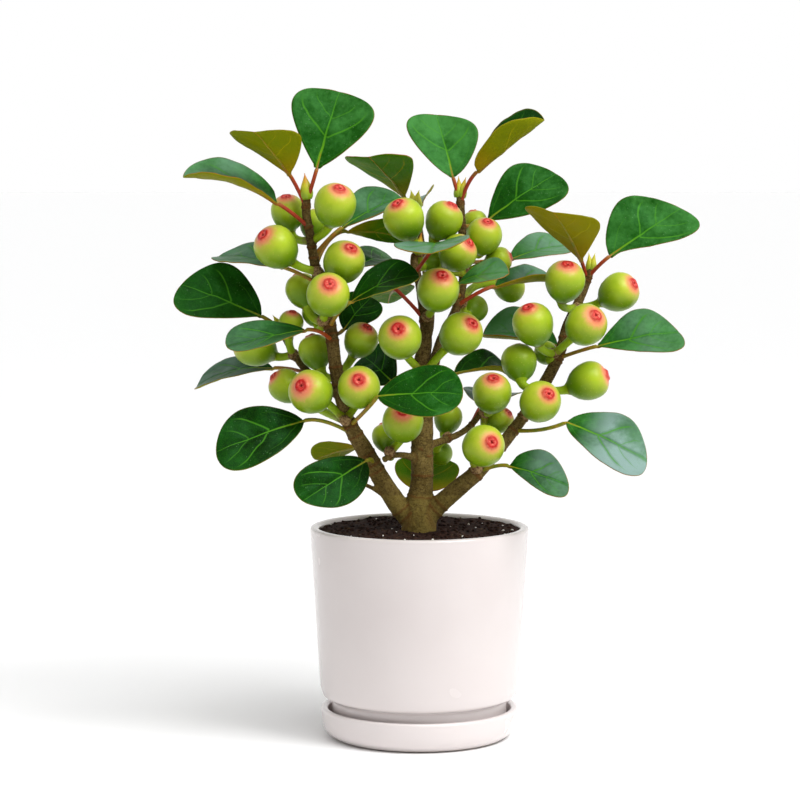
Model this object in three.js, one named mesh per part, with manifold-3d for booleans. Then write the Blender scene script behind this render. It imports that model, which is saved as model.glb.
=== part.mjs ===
// A potted mistletoe fig bonsai: a forking woody stem with leathery wedge-shaped leaves and round
// stalked figs, in potting soil, in a glazed pot that stands in its saucer.
// Millimetres, +Z up. The origin is the centre of the saucer's underside, and -Y is the front.
import * as THREE from "three";
import { mergeVertices } from "three/addons/utils/BufferGeometryUtils.js";
import Module from "manifold-3d";

const wasm = await Module();
wasm.setup();

// Pot: a slightly tapered cup on a narrower foot.
const POT_RIM_RADIUS = 55;
const POT_RIM_HEIGHT = 106.7;
const POT_WAIST_RADIUS = 50.6;
const POT_WAIST_HEIGHT = 24.6;
const POT_FOOT_RADIUS = 44.2;
const POT_WALL = 4.4;
const POT_FLOOR = 6;
const POT_UNDERSIDE = 2.5;
const POT_FOOT_RING = 5;
const POT_FOOT_EDGE = 0.9;
const POT_SHOULDER_DROP = 5.5;
const POT_SHOULDER_RISE = 1.5;
const POT_RIM_ROUND = 3;
const POT_RIM_EDGE = 0.8;
const POT_BOWL_HEIGHT = 16;
const POT_BOWL_CORNER = 4;
const DRAIN_RADIUS = 5;
const POT_SEGMENTS = 30;

// Saucer: a shallow dish with an upright rounded wall.
const SAUCER_RADIUS = 50;
const SAUCER_HEIGHT = 15.2;
const SAUCER_WALL = 3.8;
const SAUCER_FLOOR = 4;
const SAUCER_RIM_ROUND = 1.6;
const SAUCER_CORNER = 1;

// Soil, its room at the pot's wall, and the hole that the stem stands in.
const SOIL_SEGMENTS = 20;
const SOIL_ROOM = 0.7;
const SOIL_DROP = 1.6;
const SOIL_DOME = 1.2;
const SOIL_LUMP = 0.5;
const SOIL_LUMP_WAVES = [0.9, 0.7, 0.31, 0.43];
const TRUNK_HOLE_RADIUS = 9.6;

// The space left between pieces that touch.
const SEAT_GAP = 0.3;

// Leaves, petioles and figs.
const BLADE_THICKNESS = 0.9;
const PETIOLE_RADIUS = 1.1;
const STALK_RADIUS = 1.9;
const FIG_SEGMENTS = 7;

// The front view that places are read from: an 800 x 800 pixel picture of the plant. Its eye stands
// before the pot, a little above the crown, and looks slightly down.
const VIEW_MIDDLE = 400;
const VIEW_FOCAL = 2670;
const EYE = new THREE.Vector3(-9.8, -1338, 284);
const EYE_TILT = THREE.MathUtils.degToRad(4.85);

// The point that the front view shows at a pixel, at a given depth behind the pot's axis.
function seen([column, row, depth]) {
  const across = (column - VIEW_MIDDLE) / VIEW_FOCAL;
  const up = (VIEW_MIDDLE - row) / VIEW_FOCAL;
  const ray = new THREE.Vector3(
    across,
    Math.cos(EYE_TILT) + up * Math.sin(EYE_TILT),
    up * Math.cos(EYE_TILT) - Math.sin(EYE_TILT),
  );
  return EYE.clone().addScaledVector(ray, (depth - EYE.y) / ray.y);
}

// Woody stems, from root to tip. Each knot is [column, row, depth, radius], the radius in mm.
const STEMS = {
  trunk: {
    sides: 10,
    rings: 22,
    knots: [
      [419, 573, -12, 8.2],
      [419, 552, -12, 8.2],
      [419, 534, -12, 8.7],
      [419, 517, -12, 8.8],
      [420, 499, -12, 6.6],
      [422, 480, -12, 5.5],
      [422, 452, -12, 5.6],
      [423, 410, -12, 5.2],
      [422, 366, -11, 4.4],
      [426, 334, -9, 3.1],
      [424, 311, -8, 2.8],
      [420, 285, -6, 2.4],
      [414, 260, -4, 2.0],
      [419, 248, -3, 1.6],
    ],
  },
  left: {
    sides: 8,
    rings: 21,
    knots: [
      [417, 524, -12, 5.2],
      [403, 511, -12, 5.3],
      [383, 482, -14, 4.6],
      [364, 449, -17, 4.4],
      [351, 427, -19, 3.8],
      [345, 412, -20, 3.2],
      [338, 384, -20, 3.3],
      [335, 362, -20, 3.3],
      [330, 327, -18, 3.3],
      [322, 298, -17, 2.9],
      [315, 265, -17, 2.5],
      [310, 235, -18, 2.3],
      [306, 210, -19, 2.2],
      [307, 196, -20, 2.1],
    ],
  },
  right: {
    sides: 8,
    rings: 21,
    knots: [
      [422, 522, -12, 5.0],
      [438, 506, -12, 4.8],
      [457, 489, -12, 4.5],
      [474, 475, -11, 4.2],
      [490, 458, -9, 3.6],
      [505, 441, -6, 3.2],
      [521, 420, -2, 3.0],
      [538, 394, 3, 3.1],
      [552, 370, 8, 3.1],
      [561, 350, 12, 2.8],
      [567, 326, 16, 2.6],
      [578, 303, 20, 2.4],
      [586, 283, 23, 2.3],
      [591, 269, 24, 2.1],
    ],
  },
  middle: {
    sides: 7,
    rings: 15,
    knots: [
      [424, 388, -11, 3.2],
      [434, 362, -4, 2.8],
      [442, 338, 3, 2.5],
      [456, 309, 8, 2.3],
      [463, 281, 11, 2.3],
      [463, 245, 13, 2.2],
      [461, 215, 15, 2.2],
      [460, 195, 16, 2.0],
    ],
  },
  back: {
    sides: 6,
    rings: 12,
    knots: [
      [423, 352, -9, 2.6],
      [430, 322, 6, 2.3],
      [427, 280, 24, 2.1],
      [421, 240, 38, 1.9],
      [415, 206, 46, 1.7],
    ],
  },
  left_twig: {
    sides: 6,
    rings: 9,
    knots: [
      [338, 396, -19, 2.2],
      [322, 382, -8, 2.1],
      [306, 370, 2, 2.0],
      [294, 354, 8, 1.9],
      [285, 338, 12, 1.7],
      [279, 324, 14, 1.5],
    ],
  },
  right_twig: {
    sides: 6,
    rings: 6,
    knots: [
      [424, 447, -12, 2.2],
      [444, 440, -6, 1.8],
      [461, 433, -2, 1.7],
      [475, 421, 2, 1.6],
      [482, 411, 3, 1.5],
    ],
  },
  inner_twig: {
    sides: 6,
    rings: 6,
    knots: [
      [420, 459, -13, 2.2],
      [402, 455, -18, 1.6],
      [391, 456, -22, 1.6],
      [383, 460, -24, 1.7],
    ],
  },
  stub: {
    sides: 5,
    rings: 3,
    knots: [
      [384, 495, -13, 1.5],
      [374, 489, -17, 1.2],
      [364, 484, -20, 1.1],
    ],
  },
};

// Terminal buds: the stem that each closes, the way it points, its length and its greatest radius.
const BUDS = [
  { stem: "left", point: [-0.1, -0.1, 1], length: 11.5, radius: 3.1 },
  { stem: "middle", point: [0.12, 0, 1], length: 9.5, radius: 2.8 },
  { stem: "right", point: [0.05, 0, 1], length: 8.5, radius: 2.4 },
  { stem: "trunk", point: [0.15, -0.2, 1], length: 8, radius: 1.9 },
  { stem: "back", point: [0, 0, 1], length: 8.5, radius: 3.2 },
  { stem: "left_twig", point: [-0.6, -0.3, 0.9], length: 6, radius: 1.6 },
];

// Leaves. root is where the petiole leaves its stem, base and tip are the blade's two ends, face is
// the way its upper side looks, and width is in mm. bend arches the midrib, cup lifts the margins,
// blunt squares the far end, and via is the point that a bent petiole turns towards. Places are
// [column, row, depth].
const LEAVES = {
  leaf_left_crown: {
    stem: "left", root: [307, 204], base: [317, 168, -24], tip: [339.5, 92, -12],
    face: [-0.1, -1, 0.3], width: 42, bend: 0.1, cup: 0.08, blunt: 4,
    wedge: 0.78, skew: 0.05,
  },
  leaf_left_crown_front: {
    stem: "left", root: [306, 207], base: [289, 174, -26], tip: [254, 132, -54],
    face: [0.2, 0.4, 1], width: 38, bend: 0.1, cup: 0.08, blunt: 5,
    wedge: 0.8,
  },
  leaf_left_upper: {
    stem: "left", root: [308, 227], base: [277, 203, -26], tip: [183, 177, -34],
    face: [0.05, -0.22, 1], width: 30, bend: 0.22, cup: 0.2, blunt: 3,
    skew: 0.45,
  },
  leaf_left_behind: {
    stem: "left", root: [319, 285], base: [282, 267, -4], tip: [219, 256, 20],
    face: [0, -0.4, 1], width: 28, bend: 0.1, cup: 0.1, blunt: 3,
  },
  leaf_left_round: {
    stem: "left_twig", root: [281, 330], base: [261, 316, 10], tip: [181, 285, 2],
    face: [-0.05, -0.85, 0.5], width: 34, bend: 0.1, cup: 0.08, blunt: 3.4,
    wedge: 0.75, skew: 0.3, slant: -0.15,
  },
  leaf_left_middle: {
    stem: "left", root: [332, 342], base: [305, 330, -34], tip: [227, 348, -46],
    face: [0.05, -0.45, 1], width: 26, bend: 0.1, cup: 0.1, blunt: 3,
  },
  leaf_left_narrow: {
    stem: "left_twig", root: [311, 374], base: [272, 368, 18], tip: [197, 387, 34],
    face: [0.15, -0.5, 1], width: 27, bend: 0.2, cup: 0.1, blunt: 3,
  },
  leaf_left_low: {
    stem: "left", root: [356, 436], base: [303, 421, -28], tip: [216, 452, -42],
    face: [-0.1, -0.9, 0.4], width: 30.5, bend: 0.1, cup: 0.08, blunt: 3,
    wedge: 0.58, slant: -0.12,
  },
  leaf_low_front: {
    stem: "left", root: [373, 465], base: [366, 461, -29], tip: [303, 501, -50],
    face: [0.05, -0.95, 0.3], width: 27, bend: 0.1, cup: 0.06, blunt: 2.4,
    wedge: 0.55, skew: -0.12, slant: 0.14,
  },
  leaf_low_behind: {
    stem: "left", root: [366, 453], base: [357, 447, 2], tip: [315, 459, 20],
    face: [0, 0.6, 0.8], width: 17, bend: 0.1, cup: 0.1, blunt: 3.4,
  },
  leaf_low_back: {
    stem: "trunk", root: [422, 474], base: [424, 492, 8], tip: [429, 459, 30],
    face: [0, -0.7, 0.6], width: 33, bend: 0, cup: 0.1, blunt: 3,
    wedge: 0.32,
  },
  leaf_left_inner: {
    stem: "left", root: [314, 257], base: [343, 227, -11], tip: [403, 199, 7],
    face: [0, -0.4, 1], width: 31, bend: 0.15, cup: 0.15, blunt: 3,
  },
  leaf_left_inner_olive: {
    stem: "left", root: [316, 267], base: [348, 231, 3], tip: [411, 238, 16],
    face: [0.1, 0.55, 0.85], width: 27, bend: 0.1, cup: 0.1, blunt: 5,
  },
  leaf_left_inner_back: {
    stem: "left", root: [321, 291], base: [350, 268, 6], tip: [396, 262, 40],
    face: [0, -0.6, 0.8], width: 24, bend: 0.2, cup: 0.1, blunt: 3,
  },
  leaf_inner_dark: {
    stem: "left", root: [331, 326], base: [352, 301, -34], tip: [419, 275, -32],
    face: [0.1, -0.45, 1], width: 30, bend: 0.2, cup: 0.12, blunt: 2.6,
  },
  leaf_inner_olive: {
    stem: "trunk", root: [425, 320], base: [394, 289, -4], tip: [388, 303, 32],
    face: [-0.1, -0.4, 1], width: 27, bend: 0.1, cup: 0.1, blunt: 4,
  },
  leaf_inner_shade: {
    stem: "left", root: [331, 335], base: [344, 329, -4], tip: [371, 297, 6],
    face: [-0.3, -0.8, 0.4], width: 24, bend: 0.1, cup: 0.05, blunt: 3,
  },
  leaf_inner_low: {
    stem: "trunk", root: [423, 396], base: [394, 383, 2], tip: [364, 356, 22],
    face: [-0.2, -0.9, 0.4], width: 26, bend: 0.1, cup: 0.08, blunt: 3,
  },
  leaf_front: {
    stem: "left", root: [350, 426], base: [378, 396, -48], tip: [463, 394, -57],
    face: [0.03, -0.8, 0.6], width: 30, bend: 0.1, cup: 0.08, blunt: 2.6,
    via: [368, 409, -40], wedge: 0.58,
  },
  leaf_front_crown: {
    stem: "trunk", root: [417, 272], base: [437, 243, -20], tip: [431, 254, -54],
    face: [-0.12, -0.16, 1], width: 37, bend: 0.1, cup: 0.1, blunt: 4,
    via: [428, 255, -20],
  },
  leaf_back_crown: {
    stem: "back", root: [416, 214], base: [404, 197, 40], tip: [369, 157, 8],
    face: [0.2, 0.45, 1], width: 37, bend: 0.1, cup: 0.08, blunt: 6,
    wedge: 0.85,
  },
  leaf_back_edge: {
    stem: "back", root: [417, 216], base: [421, 204, 52], tip: [428, 193, 80],
    face: [-0.6, -0.1, 0.8], width: 14, bend: 0.1, cup: 0.1, blunt: 3,
  },
  leaf_middle_crown: {
    stem: "middle", root: [460, 202], base: [453, 177, 16], tip: [436, 115, 30],
    face: [0.1, -1, 0.35], width: 35, bend: 0.1, cup: 0.08, blunt: 4.4,
    wedge: 0.6, skew: 0.12, slant: -0.14,
  },
  leaf_middle_crown_front: {
    stem: "middle", root: [460, 204], base: [478, 171, 10], tip: [545, 121, -4],
    face: [-0.45, 0.15, 0.85], width: 30, bend: 0.05, cup: 0.3, blunt: 2.8,
    wedge: 0.45,
  },
  leaf_middle_right: {
    stem: "middle", root: [461, 226], base: [489, 219, 24], tip: [556, 174, 32],
    face: [-0.1, -0.85, 0.5], width: 32, bend: 0.1, cup: 0.08, blunt: 3.2,
    wedge: 0.7, slant: 0.12,
  },
  leaf_middle_far: {
    stem: "middle", root: [463, 262], base: [511, 259, 34], tip: [568, 245, 60],
    face: [0, -0.55, 0.85], width: 24, bend: 0.1, cup: 0.1, blunt: 3,
    via: [482, 262, 28],
  },
  leaf_centre_right: {
    stem: "middle", root: [460, 296], base: [458, 283, -18], tip: [509, 273, -40],
    face: [0, -0.6, 0.8], width: 24, bend: 0.15, cup: 0.1, blunt: 3,
    slant: 0.2,
  },
  leaf_right_long: {
    stem: "middle", root: [457, 306], base: [496, 286, 6], tip: [557, 283, 30],
    face: [0, -0.25, 1], width: 22, bend: 0.12, cup: 0.28, blunt: 3,
  },
  leaf_right_behind: {
    stem: "right", root: [565, 338], base: [557, 345, 32], tip: [483, 334, 44],
    face: [0, -0.45, 0.9], width: 32, bend: 0.15, cup: 0.25, blunt: 3,
  },
  leaf_right_shade: {
    stem: "middle", root: [434, 362], base: [455, 373, 8], tip: [513, 378, 32],
    face: [0, -0.35, 0.9], width: 25, bend: 0.25, cup: 0.25, blunt: 3,
  },
  leaf_twig_back: {
    stem: "right_twig", root: [471, 424], base: [482, 405, 20], tip: [497, 393, 50],
    face: [0.05, -0.12, 1], width: 31, bend: 0.1, cup: 0.08, blunt: 4,
  },
  leaf_right_crown: {
    stem: "right", root: [590, 278], base: [610, 256, 20], tip: [681, 209, 28],
    face: [-0.05, -0.9, 0.4], width: 35, bend: 0.1, cup: 0.08, blunt: 3.2,
    wedge: 0.9, skew: -0.45, slant: 0.2,
  },
  leaf_right_crown_front: {
    stem: "right", root: [589, 281], base: [581, 260, 18], tip: [554, 212, -14],
    face: [0.25, 0.4, 1], width: 37, bend: 0.1, cup: 0.08, blunt: 5,
    wedge: 0.85, slant: 0.12,
  },
  leaf_right_middle: {
    stem: "right", root: [559, 359], base: [598, 346, 4], tip: [679, 332, -4],
    face: [0, -0.75, 0.65], width: 30, bend: 0.1, cup: 0.1, blunt: 3,
    wedge: 0.85, skew: -0.12, slant: 0.2,
  },
  leaf_right_low: {
    stem: "right", root: [513, 431], base: [567, 422, -18], tip: [647, 461, -34],
    face: [0.25, -0.85, 0.5], width: 31, bend: 0.1, cup: 0.08, blunt: 3.4,
    via: [543, 433, -12], wedge: 0.56, skew: -0.05, slant: 0.18,
  },
  leaf_right_lowest: {
    stem: "right", root: [476, 474], base: [509, 466, -22], tip: [569, 486, -46],
    face: [0.05, -0.85, 0.5], width: 22, bend: 0.1, cup: 0.08, blunt: 3.4,
    wedge: 0.65, skew: -0.5, slant: 0.24,
  },
};

// Figs, in the bunches that spring from one leaf axil. root is the axil on its stem, and lean the
// side of the stem that it is on, where that isn't simply the figs' own side. Each fig has its middle
// as [column, row, depth], its width in mm and the way that its eye looks.
const FIGS = {
  figs_left_crown: {
    stem: "left", root: [313, 247],
    figs: [
      { middle: [335, 205, -32], width: 20.6, eye: [0.24, -0.58, 0.78] },
      { middle: [288, 212, -8], width: 17, eye: [-0.1, -0.4, 0.9] },
      { middle: [314, 224, 0], width: 14.5, eye: [0.1, 0.4, 0.9] },
    ],
  },
  figs_left_upper: {
    stem: "left", root: [317, 277],
    figs: [
      { middle: [276, 247, -28], width: 21, eye: [-0.58, -0.57, 0.58] },
      { middle: [344, 262, -23], width: 20.6, eye: [0.34, -0.64, 0.68] },
    ],
  },
  figs_left_middle: {
    stem: "left", root: [330, 324], lean: [-0.7, -0.6, 0.3],
    figs: [
      { middle: [328, 295, -39], width: 21.2, eye: [0.1, -0.84, 0.53] },
      { middle: [302, 290, 0], width: 16.5, eye: [-0.3, 0.3, 0.9] },
      { middle: [315, 313, 0], width: 13, eye: [-0.2, 0.6, 0.7] },
    ],
  },
  figs_left_inner: {
    stem: "left", root: [338, 385],
    figs: [
      { middle: [315, 351, -4], width: 16.5, eye: [-0.3, 0.2, 0.93] },
      { middle: [361, 340, -12], width: 17, eye: [0.38, -0.5, 0.76] },
    ],
  },
  figs_left_low: {
    stem: "left", root: [348, 421], lean: [-0.3, -1, 0.2],
    figs: [
      { middle: [311, 392, -33], width: 21.6, eye: [-0.42, -0.84, 0.35] },
      { middle: [359, 388, -33], width: 21, eye: [0, -0.89, 0.45] },
      { middle: [286, 386, -4], width: 17, eye: [-0.76, -0.25, 0.6] },
    ],
  },
  figs_left_twig: {
    stem: "left_twig", root: [297, 358],
    figs: [
      { middle: [254, 346, 4], width: 20.5, eye: [-0.8, -0.3, 0.4] },
      { middle: [291, 323, -2], width: 12.5, eye: [0.15, -0.35, 0.9] },
    ],
  },
  figs_inner_twig: {
    stem: "inner_twig", root: [389, 457],
    figs: [
      { middle: [403, 422, -30], width: 20.3, eye: [0, -0.8, 0.6] },
      { middle: [386, 437, -8], width: 14, eye: [-0.2, 0.3, 0.9] },
    ],
  },
  figs_right_twig: {
    stem: "right_twig", root: [449, 438],
    figs: [
      { middle: [448, 418, 8], width: 14.5, eye: [0.2, 0.3, 0.9] },
      { middle: [440, 453, 8], width: 12.5, eye: [0.2, 0.7, -0.3] },
    ],
  },
  figs_right_twig_end: {
    stem: "right_twig", root: [480, 414],
    figs: [
      { middle: [492, 393, -10], width: 19.6, eye: [0.05, -0.6, 0.8] },
      { middle: [500, 420, 6], width: 13.5, eye: [0.65, -0.4, 0.6] },
    ],
  },
  figs_centre: {
    stem: "trunk", root: [422, 384],
    figs: [
      { middle: [400, 338, -30], width: 21.5, eye: [-0.09, -0.88, 0.47] },
      { middle: [461, 334, -24], width: 21, eye: [0.51, -0.66, 0.54] },
    ],
  },
  figs_centre_upper: {
    stem: "trunk", root: [425, 321],
    figs: [{ middle: [438, 290, -26], width: 21, eye: [0.19, -0.68, 0.71] }],
  },
  figs_centre_crown: {
    stem: "trunk", root: [415, 256],
    figs: [
      { middle: [404, 219, -24], width: 20.2, eye: [-0.32, -0.55, 0.77] },
      { middle: [434, 263, 8], width: 12, eye: [0.7, 0.6, 0.2] },
    ],
  },
  figs_middle_crown: {
    stem: "middle", root: [463, 247],
    figs: [
      { middle: [444, 220, -2], width: 18.5, eye: [0.44, -0.35, 0.82] },
      { middle: [484, 236, 4], width: 18, eye: [0.2, -0.55, 0.8] },
      { middle: [475, 223, 31], width: 13, eye: [-0.2, 0.1, 0.97] },
    ],
  },
  figs_middle_upper: {
    stem: "middle", root: [463, 276],
    figs: [
      { middle: [458, 253, -6], width: 18.3, eye: [0.6, -0.53, 0.6] },
      { middle: [499, 260, 11], width: 13, eye: [0.9, -0.1, 0.3] },
    ],
  },
  figs_middle_low: {
    stem: "middle", root: [459, 303],
    figs: [
      { middle: [510, 288, 44], width: 15, eye: [0.8, 0.4, -0.2] },
      { middle: [474, 309, 26], width: 14, eye: [0.4, 0.8, 0.3] },
    ],
  },
  figs_right_lowest: {
    stem: "right", root: [474, 474],
    figs: [{ middle: [483, 446, -32], width: 20.8, eye: [0.39, -0.88, 0.27] }],
  },
  figs_right_low: {
    stem: "right", root: [523, 417],
    figs: [{ middle: [540, 402, -18], width: 20.4, eye: [0.37, -0.8, 0.47] }],
  },
  figs_right_inner: {
    stem: "right", root: [541, 389], lean: [0.2, -1, 0.1],
    figs: [
      { middle: [519, 362, 0], width: 18, eye: [-0.1, 0.5, 0.85] },
      { middle: [589, 381, -2], width: 19.6, eye: [0.9, -0.2, 0.36] },
    ],
  },
  figs_right_middle: {
    stem: "right", root: [557, 361],
    figs: [
      { middle: [533, 324, -6], width: 20.6, eye: [-0.27, -0.48, 0.83] },
      { middle: [586, 325, -8], width: 20.6, eye: [0.44, -0.74, 0.51] },
      { middle: [546, 353, 16], width: 12, eye: [-0.2, 0.8, 0.4] },
    ],
  },
  figs_right_crown: {
    stem: "right", root: [573, 311],
    figs: [
      { middle: [565, 281, -2], width: 20, eye: [0.1, -0.52, 0.85] },
      { middle: [619, 292, 10], width: 19.6, eye: [0.74, -0.5, 0.46] },
    ],
  },
};

// A manifold solid from a closed geometry.
function solidOf(geometry) {
  const bare = geometry.clone();
  bare.deleteAttribute("normal");
  bare.deleteAttribute("uv");
  const merged = mergeVertices(bare, 1e-4);
  return new wasm.Manifold(
    new wasm.Mesh({
      numProp: 3,
      vertProperties: merged.attributes.position.array,
      triVerts: new Uint32Array(merged.index.array),
    }),
  );
}

// A flat-shaded geometry from a manifold solid.
function geometryOf(solid) {
  const { numProp, vertProperties, triVerts } = solid.getMesh();
  const count = vertProperties.length / numProp;
  const position = new Float32Array(count * 3);
  for (let i = 0; i < count; i++) {
    position.set(vertProperties.subarray(i * numProp, i * numProp + 3), i * 3);
  }
  const indexed = new THREE.BufferGeometry();
  indexed.setAttribute("position", new THREE.BufferAttribute(position, 3));
  indexed.setIndex(new THREE.BufferAttribute(triVerts, 1));
  const flat = indexed.toNonIndexed();
  flat.computeVertexNormals();
  return flat;
}

// A closed round bar through a row of rings, each with its middle (at), the way that it faces (ahead)
// and its radius. The end is flat, or hollowed by the last ring's dip.
function bar(rings, sides) {
  const across = [];
  rings.forEach(({ ahead }, i) => {
    const seed = i ? across[i - 1].clone() : new THREE.Vector3(0.2, 1, 0.1);
    across.push(seed.addScaledVector(ahead, -seed.dot(ahead)).normalize());
  });
  const spans = rings.length - 1;
  const geometry = new THREE.CylinderGeometry(1, 1, 1, sides, spans);
  const position = geometry.attributes.position;
  for (let i = 0; i < position.count; i++) {
    const [x, y, z] = [position.getX(i), position.getY(i), position.getZ(i)];
    const number = Math.round((0.5 - y) * spans);
    const { at, ahead, radius, dip } = rings[number];
    const vertex = at
      .clone()
      .addScaledVector(across[number], radius * x)
      .addScaledVector(ahead.clone().cross(across[number]), radius * z);
    if (dip && Math.hypot(x, z) < 0.5) {
      vertex.addScaledVector(ahead, -dip);
    }
    position.setXYZ(i, vertex.x, vertex.y, vertex.z);
  }
  return solidOf(geometry);
}

// The value at a share t of the way along a list of evenly spaced values.
function along(values, t) {
  const place = t * (values.length - 1);
  const low = Math.min(Math.floor(place), values.length - 2);
  return THREE.MathUtils.lerp(values[low], values[low + 1], place - low);
}

const curves = Object.fromEntries(
  Object.entries(STEMS).map(([name, stem]) => [
    name,
    new THREE.CatmullRomCurve3(stem.knots.map(seen)),
  ]),
);

// Old leaf scars stand out as a low ring at every third ring of a stem.
const SCAR_EVERY = 3;
const SCAR_RISE = 0.07;

// All the stems joined, each made thicker by grow.
function woodSolid(grow) {
  return Object.entries(STEMS)
    .map(([name, { sides, rings, knots }]) => {
      const radii = knots.map((knot) => knot[3]);
      const row = Array.from({ length: rings + 1 }, (_, i) => {
        const scar = i && i % SCAR_EVERY === 0 && i < rings ? SCAR_RISE : 0;
        return {
          at: curves[name].getPoint(i / rings),
          ahead: curves[name].getTangent(i / rings),
          radius: along(radii, i / rings) * (1 + scar) + grow,
        };
      });
      row.at(-1).at.addScaledVector(row.at(-1).ahead, grow);
      return bar(row, sides);
    })
    .reduce((joined, stem) => joined.add(stem));
}

// A pointed bud at the tip of a stem, sunk into it.
function budSolid({ stem, point, length, radius }, grow) {
  const outline = [
    [0, -1.5],
    [radius * 0.7, 0],
    [radius, length * 0.35],
    [radius * 0.6, length * 0.7],
    [0, length],
  ];
  const profile = outline.map(
    ([across, up]) => new THREE.Vector2(across && across + grow, up + (across ? 0 : grow * Math.sign(up))),
  );
  const geometry = new THREE.LatheGeometry(profile, 6);
  const turn = new THREE.Quaternion().setFromUnitVectors(
    new THREE.Vector3(0, 1, 0),
    new THREE.Vector3(...point).normalize(),
  );
  const tip = curves[stem].getPoint(1);
  geometry.applyQuaternion(turn);
  geometry.translate(tip.x, tip.y, tip.z);
  return solidOf(geometry);
}

function woodWithBuds(grow) {
  return BUDS.map((bud) => budSolid(bud, grow)).reduce(
    (joined, bud) => joined.add(bud),
    woodSolid(grow),
  );
}

// The column and row at which the front view shows a point.
function pixelOf(point) {
  const ray = point.clone().sub(EYE);
  const ahead = ray.y * Math.cos(EYE_TILT) - ray.z * Math.sin(EYE_TILT);
  const up = ray.y * Math.sin(EYE_TILT) + ray.z * Math.cos(EYE_TILT);
  return [
    VIEW_MIDDLE + (VIEW_FOCAL * ray.x) / ahead,
    VIEW_MIDDLE - (VIEW_FOCAL * up) / ahead,
  ];
}

// The point on a stem's middle line that the front view shows nearest to a pixel.
function rootOn(stem, [column, row]) {
  const places = curves[stem].getPoints(200);
  const distance = (place) => {
    const [x, y] = pixelOf(place);
    return Math.hypot(x - column, y - row);
  };
  return places.reduce((best, place) => (distance(place) < distance(best) ? place : best));
}

// The share of its full width that a blade has at a share t of its length: a wedge at the petiole
// that fills out to a rounded far end. The skew makes one side's wedge fuller and the other's slimmer.
const NARROWEST = 0.05;
const USUAL_WEDGE = 0.62;
function outlineAt(t, { wedge = USUAL_WEDGE, blunt }, skew = 0) {
  const start = Math.pow(t, wedge * (1 - skew));
  const end = Math.sqrt(Math.max(0, 1 - Math.pow(t, blunt)));
  return Math.max(NARROWEST, start * end);
}

// The largest share that a blade's outline reaches.
const OUTLINE_STEPS = 50;
function widestOf(leaf) {
  const shares = Array.from({ length: OUTLINE_STEPS + 1 }, (_, i) => i / OUTLINE_STEPS);
  return Math.max(...shares.map((t) => outlineAt(t, leaf)));
}

// A flat box's under face, split along the same diagonals as its upper face, so that a bent blade
// keeps its thickness.
const UNDER_FACE = 5;
function matchDiagonals(box) {
  const { start, count } = box.groups[UNDER_FACE];
  const index = box.index.array;
  for (let i = start; i < start + count; i += 6) {
    const [a, b, d, , c] = index.slice(i, i + 5);
    index.set([a, b, c, a, c, d], i);
  }
}

// A leaf, from its petiole's root inside the stem to its far end. Across the blade the midrib is at 0
// and the margins are at -1 and 1, and t runs from 0 at the blade's base to 1 at its far end.
const PETIOLE_ROWS = 3;
const PETIOLE_PULL = 0.35;
const BLADE_ROWS = 5;
const FLAT_COLUMNS = 2;
const CUPPED_COLUMNS = 4;
const STRONG_CUP = 0.2;
const ARCH = 1.6;
function leafSolid(leaf) {
  const base = seen(leaf.base);
  const ahead = seen(leaf.tip).sub(base);
  const length = ahead.length();
  ahead.normalize();
  const face = new THREE.Vector3(...leaf.face);
  face.addScaledVector(ahead, -face.dot(ahead)).normalize();
  const side = ahead.clone().cross(face);
  const reach = leaf.width / 2;
  const widest = widestOf(leaf);
  const { skew = 0, slant = 0 } = leaf;

  const bladeAt = (across, t) => {
    const half = (reach * outlineAt(t, leaf, across < 0 ? -skew : skew)) / widest;
    const onward = length * t * (1 + (slant * half * across) / reach);
    const arch = leaf.bend * length * ARCH * t * (1 - t);
    const rise = leaf.cup * half * across * across * 2;
    return base
      .clone()
      .addScaledVector(ahead, onward)
      .addScaledVector(side, half * across)
      .addScaledVector(face, arch + rise);
  };
  const step = 0.05;
  const upAt = (across, t) => {
    const sideways = bladeAt(across + step, t).sub(bladeAt(across - step, t));
    const onward = bladeAt(across, Math.min(t + step, 1));
    onward.sub(bladeAt(across, Math.max(t - step, 0)));
    return sideways.cross(onward).normalize();
  };

  const heading = bladeAt(0, 0.1).sub(base).normalize();
  const root = rootOn(leaf.stem, leaf.root);
  const pull = base.distanceTo(root) * PETIOLE_PULL;
  const petiole = new THREE.QuadraticBezierCurve3(
    root,
    leaf.via ? seen(leaf.via) : base.clone().addScaledVector(heading, -pull),
    base,
  );
  const petioleAt = (across, share, lift) => {
    const onward = petiole.getTangent(share);
    const sideways = side.clone().addScaledVector(onward, -side.dot(onward)).normalize();
    return petiole
      .getPoint(share)
      .addScaledVector(sideways, PETIOLE_RADIUS * across)
      .addScaledVector(sideways.clone().cross(onward), 2 * PETIOLE_RADIUS * lift);
  };

  const columns = leaf.cup < STRONG_CUP ? FLAT_COLUMNS : CUPPED_COLUMNS;
  const rows = PETIOLE_ROWS + BLADE_ROWS;
  const geometry = new THREE.BoxGeometry(2, 1, 1, columns, rows, 1);
  matchDiagonals(geometry);
  const position = geometry.attributes.position;
  for (let i = 0; i < position.count; i++) {
    const [across, y, lift] = [position.getX(i), position.getY(i), position.getZ(i)];
    const row = Math.round((y + 0.5) * rows) - PETIOLE_ROWS;
    const t = Math.sin((Math.max(row, 0) / BLADE_ROWS) * (Math.PI / 2));
    const thickness = row ? BLADE_THICKNESS : 2 * PETIOLE_RADIUS;
    const vertex =
      row < 0
        ? petioleAt(across, 1 + row / PETIOLE_ROWS, lift)
        : bladeAt(across, t).addScaledVector(upAt(across, t), thickness * lift);
    position.setXYZ(i, vertex.x, vertex.y, vertex.z);
  }
  return solidOf(geometry);
}

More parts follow.
